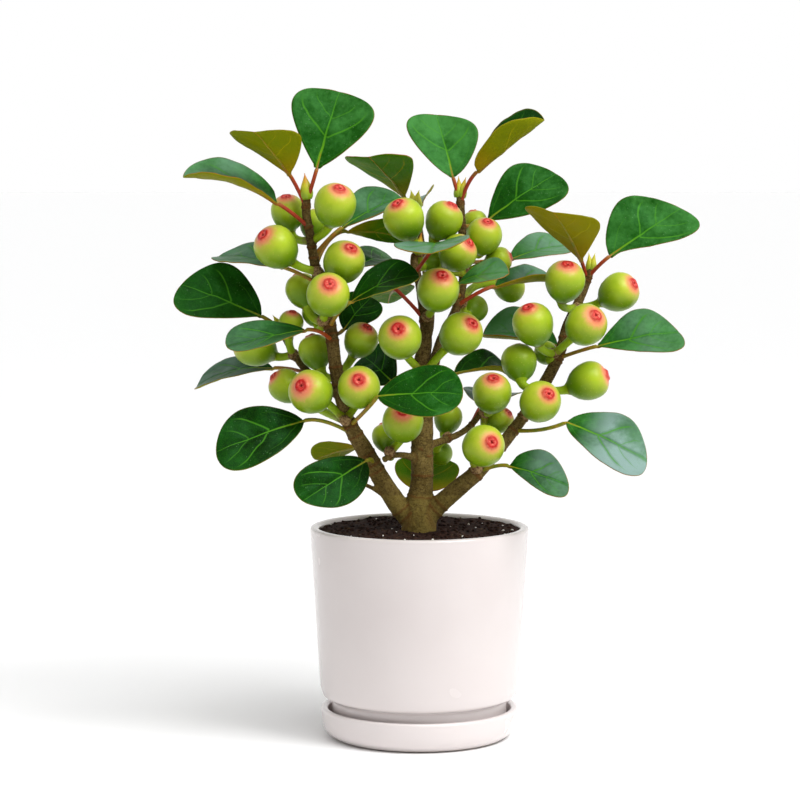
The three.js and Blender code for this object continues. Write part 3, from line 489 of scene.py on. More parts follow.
@dataclass(frozen=True)
class Ring:
    """One ring of a bar: its middle, its heading, its radius and its share along the bar."""

    at: Vector
    ahead: Vector
    radius: float
    share: float


def arch(start: Vector, turn: Vector, end: Vector, share: float) -> tuple[Vector, Vector]:
    """Follows a curve that leaves its start towards a turning point.

    Args:
        start: The first point.
        turn: The point that both ends head for.
        end: The last point.
        share: The share of the way along.

    Returns:
        The point and the direction there.
    """
    left, right = start.lerp(turn, share), turn.lerp(end, share)
    return left.lerp(right, share), (right - left).normalized()


def bell(place: float, width: float) -> float:
    """Returns the height of a bell curve, which is 1 at place 0."""
    return math.exp(-((place / width) ** 2))


def only(parts: Sequence, kind: type) -> list:
    """Returns the parts of a mesh that are of one kind."""
    return [part for part in parts if isinstance(part, kind)]


def add_object(name: str, data: bpy.types.ID) -> bpy.types.Object:
    """Adds an object to the scene.

    Args:
        name: Its name.
        data: What it shows.

    Returns:
        The object.
    """
    obj = bpy.data.objects.new(name, data)
    bpy.context.scene.collection.objects.link(obj)
    return obj


class Clay:
    """A mesh in the making, with the values at its points that the finishes read.

    form holds a place in the piece's own terms, tone a number that the piece's finish explains, and
    the third layer the share of a paler or darker coat. On leaves that coat is a painted sheen, on
    figs painted shade low down, and on bark the foot's paler colour with painted light above it.
    """

    upright = Vector((0.2, 1, 0.1))
    least = 1e-5

    def __init__(self, bm: bmesh.types.BMesh | None = None) -> None:
        """Starts the mesh.

        Args:
            bm: The form that it starts from, if any.
        """
        self.bm = bm or bmesh.new()
        self.form = self.bm.verts.layers.float_vector.new("form")
        self.tone = self.bm.verts.layers.float.new("tone")
        # Share of a paler or darker coat, much of it painted light.
        self.wash = self.bm.verts.layers.float.new("wash")

    def sweep(self, rings: Sequence[Ring], sides: int, finish: int = 0, tone: float = 0.0) -> list:
        """Builds a closed round bar through a row of rings.

        Args:
            rings: The rings, in order.
            sides: How many sides the bar has.
            finish: The number of its material.
            tone: The tone of its points.

        Returns:
            The bar's vertices.
        """
        bm = self.bm
        made = bmesh.ops.create_circle(bm, cap_ends=True, segments=sides, radius=1.0)["verts"]
        faces = list(made[0].link_faces)
        loop = list({edge for vert in made for edge in vert.link_edges})
        across, last, verts = self.upright, Matrix.Identity(4), []
        for number, ring in enumerate(rings):
            if number:
                grown = bmesh.ops.extrude_edge_only(bm, edges=loop)["geom"]
                made = only(grown, bmesh.types.BMVert)
                fresh = set(made)
                edges = only(grown, bmesh.types.BMEdge)
                loop = [edge for edge in edges if fresh.issuperset(edge.verts)]
                faces += only(grown, bmesh.types.BMFace)
            across = (across - ring.ahead * across.dot(ring.ahead)).normalized()
            turn = Matrix((across, ring.ahead.cross(across), ring.ahead)).transposed().to_4x4()
            size = Matrix.Scale(max(ring.radius, self.least), 4)
            here = Matrix.Translation(ring.at) @ turn @ size
            bmesh.ops.transform(bm, matrix=here @ last.inverted(), verts=made)
            last = here
            for vert in made:
                vert[self.form] = (0, ring.share, 0)
                vert[self.tone] = tone
            verts += made
        faces += bmesh.ops.contextual_create(bm, geom=loop)["faces"]
        bmesh.ops.recalc_face_normals(bm, faces=faces)
        for face in faces:
            face.material_index = finish
        return verts

    def piece(
        self, name: str, slot: Slot, finishes: Sequence[bpy.types.Material], *nodes: str
    ) -> None:
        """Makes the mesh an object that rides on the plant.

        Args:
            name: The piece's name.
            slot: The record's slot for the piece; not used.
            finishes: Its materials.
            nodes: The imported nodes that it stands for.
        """
        mesh = bpy.data.meshes.new(name)
        self.bm.to_mesh(mesh)
        self.bm.free()
        mesh.shade_smooth()
        for finish in finishes:
            mesh.materials.append(finish)
        obj = add_object(name, mesh)
        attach(obj, BODY)
        if nodes:
            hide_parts(*nodes)
        log.info("%s: %d faces", name, len(mesh.polygons))


def operator(operation: str, swapped: bool = False) -> Callable[..., "Shade"]:
    """Makes a method of Shade that adds a Math node.

    Args:
        operation: The node's operation.
        swapped: Whether the shade comes after the other value.

    Returns:
        The method.
    """

    def method(shade: "Shade", *others: "Shade | float") -> "Shade":
        """Returns the node's output."""
        values = (*others, shade) if swapped else (shade, *others)
        return shade.nodes.math(operation, *values)

    return method


class Shade:
    """An output of a shader node, with the operators that add Math nodes."""

    __add__ = operator("ADD")
    __radd__ = operator("ADD", swapped=True)
    __sub__ = operator("SUBTRACT")
    __rsub__ = operator("SUBTRACT", swapped=True)
    __mul__ = operator("MULTIPLY")
    __truediv__ = operator("DIVIDE")
    __pow__ = operator("POWER")
    __abs__ = operator("ABSOLUTE")
    most = operator("MAXIMUM")
    sine = operator("SINE")

    def __init__(self, nodes: "Nodes", socket: bpy.types.NodeSocket) -> None:
        """Wraps an output socket."""
        self.nodes = nodes
        self.socket = socket

    def rise(self, low: float, high: float, start: float = 0.0, end: float = 1.0) -> "Shade":
        """Adds a smooth step.

        Args:
            low: Where it starts.
            high: Where it ends.
            start: The value up to low.
            end: The value from high on.

        Returns:
            The step.
        """
        spans = {"From Min": low, "From Max": high, "To Min": start, "To Max": end}
        settings = {"interpolation_type": "SMOOTHSTEP"}
        return self.nodes.node("ShaderNodeMapRange", settings, {"Value": self, **spans})

    def fall(self, low: float, high: float) -> "Shade":
        """Returns a smooth step from 1 at low to 0 at high."""
        return 1 - self.rise(low, high)

    def about(self, spread: float) -> "Shade":
        """Returns a noise's swing about its middle, times a spread."""
        return (self - 0.5) * spread


class Nodes:
    """A tree of shader nodes."""

    def __init__(self, tree: bpy.types.NodeTree) -> None:
        """Wraps a tree."""
        self.tree = tree

    def join(self, value: "Shade | float | Colour", socket: bpy.types.NodeSocket) -> None:
        """Links a shade to a socket, or sets the socket's own value.

        Args:
            value: The shade or the value.
            socket: The input socket.
        """
        if isinstance(value, Shade):
            self.tree.links.new(value.socket, socket)
        elif socket.type == "RGBA" and len(value) == 3:
            socket.default_value = (*value, 1.0)
        else:
            socket.default_value = value

    def node(self, kind: str, settings: dict, values: dict, out: int | str = 0) -> Shade:
        """Adds a node.

        Args:
            kind: The node's type.
            settings: What is set on the node itself.
            values: The values or links of its sockets.
            out: The output that is used.

        Returns:
            The output.
        """
        node = self.tree.nodes.new(kind)
        for key, value in settings.items():
            setattr(node, key, value)
        for key, value in values.items():
            self.join(value, node.inputs[key])
        return Shade(self, node.outputs[out])

    def math(self, operation: str, *values: Shade | float) -> Shade:
        """Adds a Math node."""
        return self.node("ShaderNodeMath", {"operation": operation}, dict(enumerate(values)))

    def split(self, vector: Shade) -> tuple[Shade, Shade, Shade]:
        """Returns the three numbers of a vector."""
        node = self.node("ShaderNodeSeparateXYZ", {}, {"Vector": vector}).socket.node
        return tuple(Shade(self, socket) for socket in node.outputs)

    def vector(self, x: Shade, y: Shade, z: Shade) -> Shade:
        """Joins three numbers in a vector."""
        return self.node("ShaderNodeCombineXYZ", {}, {"X": x, "Y": y, "Z": z})


class Paint(Nodes):
    """The nodes of one material."""

    def __init__(self, name: str, highlight: float, **constants: float | Colour) -> None:
        """Starts a material.

        Args:
            name: The material's name.
            highlight: The strength of its highlights.
            constants: What else is the same all over, by the shader's sockets in lower case.
        """
        self.material = bpy.data.materials.new(name)
        self.material.use_nodes = True
        super().__init__(self.material.node_tree)
        self.shader = self.tree.nodes["Principled BSDF"]
        self.join(highlight, self.shader.inputs["Specular IOR Level"])
        for socket, value in constants.items():
            self.join(value, self.shader.inputs[socket.replace("_", " ").title()])

    def own(self, name: str, out: str = "Fac") -> Shade:
        """Returns the number or the vector that a piece holds at its points."""
        return self.node("ShaderNodeAttribute", {"attribute_name": name}, {}, out)

    def form(self) -> tuple[Shade, Shade, Shade]:
        """Returns the three numbers of the form that a piece holds at its points."""
        return self.split(self.own("form", "Vector"))

    def place(self) -> Shade:
        """Returns the place on the object, in metres."""
        return self.node("ShaderNodeTexCoord", {}, {}, "Object")

    def noise(self, scale: float, detail: float, where: Shade | None = None) -> Shade:
        """Returns a smooth noise from 0 to 1 with the given waves a metre."""
        values = {"Vector": where or self.place(), "Scale": scale, "Detail": detail}
        return self.node("ShaderNodeTexNoise", {}, values)

    def cells(self, scale: float, feature: str = "F1", where: Shade | None = None) -> Shade:
        """Returns the distance in a pattern with the given cells a metre."""
        values = {"Vector": where or self.place(), "Scale": scale}
        return self.node("ShaderNodeTexVoronoi", {"feature": feature}, values, "Distance")

    def net(self, scale: float) -> Shade:
        """Returns a net of fine lines between cells."""
        return self.cells(scale, "DISTANCE_TO_EDGE").fall(0.02, 0.12)

    def mix(self, share: Shade | float, first: Shade | Colour, second: Shade | Colour) -> Shade:
        """Mixes two colours, from the first at 0 to the second at 1."""
        return self.node("ShaderNodeMix", {"data_type": "RGBA"}, {0: share, 6: first, 7: second}, 2)

    def coats(self, colour: Shade | Colour, *coats: tuple[Shade, Shade | Colour]) -> Shade:
        """Lays coats over a colour.

        Args:
            colour: The first colour.
            coats: The share and the colour of each coat.

        Returns:
            The mixed colour.
        """
        for share, coat in coats:
            colour = self.mix(share, colour, coat)
        return colour

    def ramp(self, share: Shade, *colours: Colour) -> Shade:
        """Adds a ramp.

        Args:
            share: The share of the way along.
            colours: The colours, evenly spaced.

        Returns:
            The colour there.
        """
        shade = self.node("ShaderNodeValToRGB", {}, {"Fac": share})
        stops = shade.socket.node.color_ramp.elements
        while len(stops) < len(colours):
            stops.new(1.0)
        for number, colour in enumerate(colours):
            stops[number].position = number / (len(colours) - 1)
            stops[number].color = (*colour, 1.0)
        return shade

    def finish(
        self, colour: Shade, rough: Shade, height: Shade, depth: float
    ) -> bpy.types.Material:
        """Feeds the shader.

        Args:
            colour: The base colour.
            rough: The roughness.
            height: The height of the relief, from 0 to 1.
            depth: The relief's depth in millimetres.

        Returns:
            The material.
        """
        values = {"Height": height, "Distance": depth * MM, "Strength": 1.0}
        feeds = {
            "Base Color": colour,
            "Roughness": rough,
            "Normal": self.node("ShaderNodeBump", {}, values),
        }
        for socket, value in feeds.items():
            self.join(value, self.shader.inputs[socket])
        return self.material


@dataclass(frozen=True)
class Vein:
    """A pair of side veins that leave the midrib and run out to the margins, bowing forwards.

    The start and the span are shares of the blade's length, and the reach is a share of its half
    width.
    """

    start: float
    span: float
    reach: float
    width: float
    strength: float


@dataclass(frozen=True)
class LeafFinish:
    """Upper face of a leaf: deep green and glossy, with a pale forking midrib and a faint net."""

    dark: Colour = (0.001, 0.010, 0.0002)
    fresh: Colour = (0.006, 0.062, 0.003)
    light: Colour = (0.045, 0.19, 0.035)
    # Painted sheen: the silvery white-green of a glossy face catching bright light.
    painted_sheen: Colour = (0.24, 0.34, 0.33)
    vein: Colour = (0.065, 0.26, 0.012)
    root: Colour = (0.14, 0.32, 0.010)
    margin: Colour = (0.13, 0.11, 0.01)
    # Painted glints: pale specks for the fine speckled shine of the gloss.
    speck_glint: Colour = (0.12, 0.24, 0.10)
    gloss: Colour = (0.3, 0.95, 0.4)
    veins: tuple[Vein, ...] = (
        Vein(0.41, 0.40, 0.80, 0.040, 0.8),
        Vein(0.65, 0.26, 0.50, 0.028, 0.55),
        Vein(0.05, 0.42, 0.66, 0.022, 0.28),
    )
    valley: float = 0.2
    blotches: float = 85
    grains: float = 480
    clouds: float = 60
    net: float = 1300
    specks: float = 700
    rough: float = 0.30

    def lines(self, paint: Paint) -> tuple[Shade, Shade, Shade]:
        """Draws the midrib and the side veins.

        Args:
            paint: The material.

        Returns:
            The midrib's mask, the side veins' mask and the soft swelling between them.
        """
        x, y, _ = paint.form()
        wave = paint.noise(110, 1) - 0.5
        off = abs(x + wave * 0.05)
        midrib = (off / (0.052 - y * 0.04)).fall(0.3, 1.0)
        swell, side = (off / self.valley).fall(0.0, 1.0), None
        for vein in self.veins:
            shifted = y + x.rise(-0.1, 0.1) * 0.035 + wave * 0.06
            along = ((shifted - vein.start) / vein.span).most(0.0)
            gap = abs(off - (along * 1.45).sine() * vein.reach) * 0.75
            there = along.rise(0.0, 0.05) * along.fall(0.7, 1.1)
            slim = (1.15 - along * 0.6) * vein.width
            line = (gap / slim).fall(0.2, 1.0) * there * vein.strength
            side = side.most(line) if side else line
            swell = swell.most((gap / self.valley).fall(0.0, 1.0) * there * vein.strength)
        return midrib, side, swell

    def make(self) -> bpy.types.Material:
        """Mixes the material.

        Returns:
            The material.
        """
        paint = Paint("leaf_upper", 0.13, specular_tint=self.gloss)
        _, y, edge = paint.form()
        midrib, side, swell = self.lines(paint)
        blotch = paint.noise(self.blotches, 3)
        grain = paint.noise(self.grains, 4)
        shade = paint.own("tone") + blotch.about(0.9) + grain.about(0.5) + y.about(0.25)
        # Painted sheen: silvery clouds over the outer blade, weaker along the veins.
        cloud = paint.noise(self.clouds, 1) + grain.about(0.2)
        sheen = paint.own("wash") * y.rise(0.12, 0.6) * (cloud.rise(0.25, 0.6) * 0.7 + 0.3)
        fine = paint.net(self.net)
        # Pale specks, painted as fine glints of the gloss.
        speck = paint.cells(self.specks).fall(0.1, 0.24) * paint.noise(260, 1).rise(0.48, 0.66)
        colour = paint.coats(
            # A little darker in the sunken valleys along the veins: painted shade.
            paint.ramp(shade - swell * 0.06, self.dark, self.fresh, self.light),
            (sheen * (1 - swell.rise(0.35, 1.0) * 0.6) * 1.2, self.painted_sheen),
            (fine * 0.13, self.vein),
            (speck * 0.5, self.speck_glint),
            (side * 0.8, self.vein),
            (midrib * (1.0 - y * 0.45), paint.mix(y.fall(0.05, 0.5), self.vein, self.root)),
            (edge.fall(0.1, 0.42) * 0.7, self.margin),
        )
        rough = self.rough + blotch * 0.14 + fine * 0.05
        height = 0.75 + swell * -0.35 + midrib * -0.1 + fine * -0.02 + blotch * 0.22
        return paint.finish(colour, rough, height, 0.6)


@dataclass(frozen=True)
class UnderFinish:
    """Under face of a leaf: golden olive, with an orange midrib and paler looping veins."""

    skin: Colour = (0.235, 0.20, 0.0005)
    green: Colour = (0.045, 0.17, 0.0005)
    vein: Colour = (0.32, 0.29, 0.003)
    midrib: Colour = (0.56, 0.24, 0.006)
    blotches: float = 70
    net: float = 1100
    specks: float = 1000

    def make(self, upper: LeafFinish) -> bpy.types.Material:
        """Mixes the material.

        Args:
            upper: The upper face, whose veins show from below too.

        Returns:
            The material.
        """
        paint = Paint("leaf_under", 0.05)
        _, y, edge = paint.form()
        midrib, side, _ = upper.lines(paint)
        blotch = paint.noise(self.blotches, 3)
        fine = paint.net(self.net)
        speck = paint.cells(self.specks).fall(0.1, 0.25)
        colour = paint.coats(
            self.skin,
            (paint.own("tone") + blotch.about(0.5), self.green),
            (y.fall(0.0, 0.5) * 0.35, self.midrib),
            (fine * 0.16 + speck * 0.12, self.vein),
            (side * 0.7, self.vein),
            (midrib * 0.95, self.midrib),
            (edge.fall(0.1, 0.5) * 0.5, self.vein),
        )
        height = midrib * 0.6 + side * 0.4 + fine * 0.15 + blotch * 0.15
        return paint.finish(colour, 0.5 + blotch * 0.15, height, 0.45)


@dataclass(frozen=True)
class PetioleFinish:
    """Petioles and margins: yellow-green that turns red where the tone is high."""

    green: Colour = (0.16, 0.20, 0.008)
    yellow: Colour = (0.30, 0.22, 0.012)
    red: Colour = (0.33, 0.032, 0.010)

    def make(self) -> bpy.types.Material:
        """Mixes the material.

        Returns:
            The material.
        """
        paint = Paint("petiole", 0.25)
        mottle = paint.noise(420, 3)
        redness = (paint.own("tone") + mottle.about(0.5)).rise(0.15, 0.95)
        colour = paint.coats(self.green, (mottle.rise(0.3, 0.7), self.yellow), (redness, self.red))
        return paint.finish(colour, 0.38 + mottle * 0.15, paint.noise(900, 2), 0.12)


@dataclass(frozen=True)
class FigFinish:
    """Skin of a fig: lime green, with a streaked pink blush round a red eye and pale dots.

    The form is the place on a ball of radius 1 whose eye looks up, and the tone is the fig's own
    number. Coral patches on the eye's lip are a painted highlight. The lower side is painted shade
    in a deeper green, and the neck is deeper green too, partly its own colour and partly painted
    shade.
    """

    lime: Colour = (0.38, 0.50, 0.018)
    # A deeper green: random clouds, the neck, and painted shade on the lower side.
    deep: Colour = (0.085, 0.195, 0.0005)
    cream: Colour = (0.55, 0.44, 0.07)
    pink: Colour = (0.74, 0.24, 0.14)
    halo: Colour = (0.72, 0.11, 0.09)
    ring: Colour = (0.43, 0.005, 0.010)
    # Painted highlight: coral patches on the raised lip of the eye.
    rim: Colour = (0.86, 0.14, 0.11)
    hole: Colour = (0.25, 0.002, 0.006)
    gloss: Colour = (0.9, 0.95, 0.6)
    clouds: float = 70
    dots: float = 620

    def make(self) -> bpy.types.Material:
        """Mixes the material.

        Returns:
            The material.
        """
        paint = Paint("fig_skin", 0.38, specular_tint=self.gloss)
        x, y, z = paint.form()
        tone = paint.own("tone")
        reach = (x * x + y * y) ** 0.5
        streak = paint.noise(1.0, 3, paint.vector(x * 7.0, y * 7.0, z * 1.3 + tone * 40.0))
        patch = paint.noise(1.0, 2, paint.vector(x * 9.0, y * 9.0, z * 4.0 + tone * 20.0))
        cloud = paint.noise(self.clouds, 3)
        top = z + streak.about(0.2) + tone.about(0.1)
        dots = paint.cells(self.dots).fall(0.1, 0.22)
        eye = z.rise(0.5, 0.6)
        colour = paint.coats(
            self.lime,
            (cloud.rise(0.35, 0.7) * 0.35, self.deep),
            # Deeper green towards the neck: partly the fig's own colour, partly painted shade.
            (z.fall(-0.85, 0.5) * 0.85, self.deep),
            # Painted shade: deeper green on the fig's lower side.
            (paint.own("wash").rise(-0.4, 0.9) * 0.7, self.deep),
            (top.rise(0.45, 1.0) * 0.45, self.cream),
            (top.rise(0.78, 1.02) * 0.8, self.pink),
            (dots * 0.25, self.cream),
            ((reach + streak.about(0.2)).fall(0.3, 0.62) * eye * 0.6, self.halo),
            ((reach + streak.about(0.12)).fall(0.24, 0.38) * eye, self.ring),
            # Painted highlight on the eye's raised lip.
            (reach.fall(0.12, 0.24) * patch.rise(0.36, 0.6) * 0.65 * eye, self.rim),
            (reach.fall(0.04, 0.09) * eye, self.hole),
        )
        height = streak * 0.4 + dots * 0.35 + cloud * 0.15
        return paint.finish(colour, 0.3 + cloud * 0.14, height, 0.18)


@dataclass(frozen=True)
class StalkFinish:
    """Stalk of a fig: green, with small warts and a browner foot."""

    green: Colour = (0.25, 0.38, 0.003)
    brown: Colour = (0.16, 0.09, 0.008)

    def make(self) -> bpy.types.Material:
        """Mixes the material.

        Returns:
            The material.
        """
        paint = Paint("fig_stalk", 0.25)
        _, share, _ = paint.form()
        mottle = paint.noise(380, 3)
        foot = (share + mottle.about(0.5)).fall(0.0, 0.3) * 0.8
        colour = paint.mix(foot, self.green, self.brown)
        return paint.finish(colour, 0.45 + mottle * 0.15, paint.noise(1100, 2), 0.2)


@dataclass(frozen=True)
class BarkFinish:
    """Bark: brown and finely mottled, paler at the foot, with reddish rings and pale pores.

    The form is the place across and along the stem in millimetres, and the tone is high on rings.
    The foot's own bark is paler, and painted light fades up from it over the lower branches.
    """

    pale: Colour = (0.17, 0.115, 0.038)
    brown: Colour = (0.060, 0.034, 0.006)
    dark: Colour = (0.020, 0.010, 0.002)
    red: Colour = (0.12, 0.034, 0.006)
    # Paler bark low down: the foot's own colour, and painted light up the lower branches.
    foot: Colour = (0.235, 0.175, 0.040)
    cork: Colour = (0.30, 0.22, 0.09)
    mottles: float = 1300
    clouds: float = 90

    def make(self) -> bpy.types.Material:
        """Mixes the material.

        Returns:
            The material.
        """
        paint = Paint("bark", 0.12)
        u, v, s = paint.form()
        wash = paint.own("wash")
        grain = paint.noise(1.0, 4, paint.vector(u * 0.7, v * 0.7, s * 0.45))
        band = paint.noise(1.0, 3, paint.vector(u * 0.25, v * 0.25, s * 1.9))
        pore = paint.cells(1.0, "F1", paint.vector(u * 0.75, v * 0.75, s * 1.1)).fall(0.12, 0.26)
        mottle = paint.noise(self.mottles, 3)
        share = grain * 0.6 + mottle * 0.5 + paint.noise(self.clouds, 3).about(0.5)
        pit = (mottle * 0.6 + band - 0.3).fall(0.3, 0.5)
        colour = paint.coats(
            self.brown,
            (share.rise(0.36, 0.84), self.pale),
            # Paler low down: the foot's own paler bark, and painted light fading up the lower
            # branches.
            (wash * (0.4 + share.rise(0.3, 0.8) * 0.5), self.foot),
            (pit * (0.5 - wash * 0.15), self.dark),
            (paint.own("tone") * (0.3 + mottle * 0.8), self.red),
            (pore * 0.4, self.cork),
        )
        height = grain * 0.35 + mottle * 0.3 + band * 0.2 + pore * 0.15 - pit * 0.2
        return paint.finish(colour, 0.7 + grain * 0.2, height, 0.5)


@dataclass(frozen=True)
class KnobFinish:
    """Knobs that the fig stalks spring from: brown, dry and flaking."""

    brown: Colour = (0.10, 0.045, 0.014)
    tan: Colour = (0.30, 0.19, 0.08)

    def make(self) -> bpy.types.Material:
        """Mixes the material.

        Returns:
            The material.
        """
        paint = Paint("knob", 0.25)
        flake = paint.cells(900)
        mottle = paint.noise(600, 4)
        colour = paint.mix((flake + mottle - 0.5).rise(0.1, 0.8), self.brown, self.tan)
        return paint.finish(colour, 0.6 + mottle * 0.3, flake * 0.6 + mottle * 0.4, 0.5)


@dataclass(frozen=True)
class BudFinish:
    """Bud scales: yellow-green, with an orange tip where the tone is high."""

    green: Colour = (0.26, 0.38, 0.010)
    yellow: Colour = (0.56, 0.54, 0.020)
    orange: Colour = (0.62, 0.18, 0.012)

    def make(self) -> bpy.types.Material:
        """Mixes the material.

        Returns:
            The material.
        """
        paint = Paint("bud_scale", 0.45)
        _, share, _ = paint.form()
        mottle = paint.noise(500, 3)
        tip = (share + mottle.about(0.4)).rise(0.45, 0.95) * paint.own("tone")
        colour = paint.coats(self.green, (share.rise(0.1, 0.7), self.yellow), (tip, self.orange))
        return paint.finish(colour, 0.4 + mottle * 0.15, mottle, 0.15)


@dataclass(frozen=True)
class SoilFinish:
    """Potting soil: near-black brown crumbs with paler fibres."""

    dark: Colour = (0.011, 0.005, 0.004)
    brown: Colour = (0.045, 0.021, 0.015)
    fibre: Colour = (0.13, 0.08, 0.04)

    def make(self) -> bpy.types.Material:
        """Mixes the material.

        Returns:
            The material.
        """
        paint = Paint("potting_soil", 0.08)
        clod = paint.cells(420)
        grit = paint.noise(700, 5)
        crumb = (grit + clod * 0.5 - 0.25).rise(0.3, 0.75)
        thread = paint.noise(260, 3).rise(0.64, 0.74) * 0.6
        colour = paint.coats(self.dark, (crumb, self.brown), (thread, self.fibre))
        return paint.finish(colour, 0.8 + grit * 0.2, grit * 0.6 + clod * 0.4, 1.2)


@dataclass(frozen=True)
class MineralFinish:
    """A dull pale mineral with darker grit in it."""

    name: str
    pale: Colour
    grit: Colour
    grains: float
    edge: float
    share: float
    highlight: float
    depth: float

    def make(self) -> bpy.types.Material:
        """Mixes the material.

        Returns:
            The material.
        """
        paint = Paint(self.name, self.highlight)
        mottle = paint.noise(self.grains, 4)
        colour = paint.mix(mottle.rise(self.edge, 0.75) * self.share, self.pale, self.grit)
        return paint.finish(colour, 0.75 + mottle * 0.2, mottle, self.depth)


# Perlite, dusty with soil, and the raw clay of the rings that the pot and the saucer stand on.
PERLITE = MineralFinish(
    "perlite", pale=(0.80, 0.78, 0.73), grit=(0.30, 0.22, 0.16), grains=900, edge=0.5, share=0.7,
    highlight=0.3, depth=0.4,
)
RAW_CLAY = MineralFinish(
    "raw_clay", pale=(0.62, 0.54, 0.45), grit=(0.42, 0.34, 0.27), grains=1400, edge=0.4, share=1.0,
    highlight=0.25, depth=0.3,
)


@dataclass(frozen=True)
class GlazeFinish:
    """White glaze: thick, glossy, faint ripples, pooled specks, paler low down as painted light."""

    white: Colour = (0.655, 0.597, 0.585)
    shade: Colour = (0.635, 0.573, 0.562)
    speck: Colour = (0.62, 0.54, 0.49)
    # Painted light: a paler white low on the pot and the saucer, for light thrown up from the floor.
    foot: Colour = (0.725, 0.662, 0.65)
    specks: float = 260
    clouds: float = 28
    # How high the painted floor light reaches, in metres.
    reach: float = 0.07

    def make(self) -> bpy.types.Material:
        """Mixes the material.

        Returns:
            The material.
        """
        paint = Paint("white_glaze", 0.5, coat_weight=0.6, coat_roughness=0.06)
        cloud = paint.noise(self.clouds, 3)
        pin = paint.cells(self.specks).fall(0.03, 0.07) * paint.noise(90, 1).rise(0.55, 0.75)
        _, _, height = paint.split(paint.place())
        colour = paint.coats(
            self.white,
            (cloud.rise(0.3, 0.7), self.shade),
            # Painted light from the floor, fading with height.
            (height.fall(0.0, self.reach), self.foot),
            (pin * 0.5, self.speck),
        )
        ripple = paint.noise(55, 2) * 0.8 + paint.noise(240, 2) * 0.2
        return paint.finish(colour, 0.22 + cloud * 0.08, ripple - pin * 0.3, 0.12)


class Blade:
    """The form of one leaf's blade: a wedge at the petiole that fills out to a rounded far end."""

    narrowest = 0.05
    samples = 50
    bow = 1.6
    ripples = ((90, 0.9), (260, 0.22))
    groove = 0.35
    groove_width = 2.2

    def __init__(self, leaf: Leaf) -> None:
        """Places the blade.

        Args:
            leaf: The leaf's sizes.
        """
        self.leaf = leaf
        self.base = VIEW.seen(leaf.base)
        reach = VIEW.seen(leaf.tip) - self.base
        self.length = reach.length
        self.ahead = reach.normalized()
        face = Vector(leaf.face)
        self.face = (face - self.ahead * face.dot(self.ahead)).normalized()
        self.side = self.ahead.cross(self.face)
        shares = (step / self.samples for step in range(self.samples + 1))
        self.widest = max(self.outline(share, 0.0) for share in shares)
        self.reach = leaf.width / 2 * MM

    def outline(self, t: float, skew: float) -> float:
        """Returns the share of the full width at a share t of the length, on a side with a skew."""
        wedge = self.leaf.wedge * (1 - skew)
        return max(self.narrowest, t**wedge * math.sqrt(max(0.0, 1 - t**self.leaf.blunt)))

    def half(self, across: float, t: float) -> float:
        """Returns the blade's half width in metres, on the side that across is on."""
        skew = self.leaf.skew if across > 0 else -self.leaf.skew
        return self.reach * self.outline(t, skew) / self.widest

    def at(self, across: float, t: float) -> Vector:
        """Finds a point of the blade's middle surface.

        Args:
            across: From -1 at one margin, through 0 at the midrib, to 1 at the other.
            t: From 0 at the blade's base to 1 at its far end.

        Returns:
            The point in metres.
        """
        leaf = self.leaf
        half = self.half(across, t)
        onward = self.length * t * (1 + leaf.slant * half * across / self.reach)
        flat = self.base + self.ahead * onward + self.side * (half * across)
        lift = leaf.bend * self.length * self.bow * t * (1 - t)
        lift += 2 * leaf.cup * half * across * across
        for waves, height in self.ripples:
            lift += noise(flat * waves) * height * MM * min(1.0, 3 * t)
        lift -= self.groove * MM * bell(half * across, self.groove_width * MM) * (1 - t)
        return flat + self.face * lift


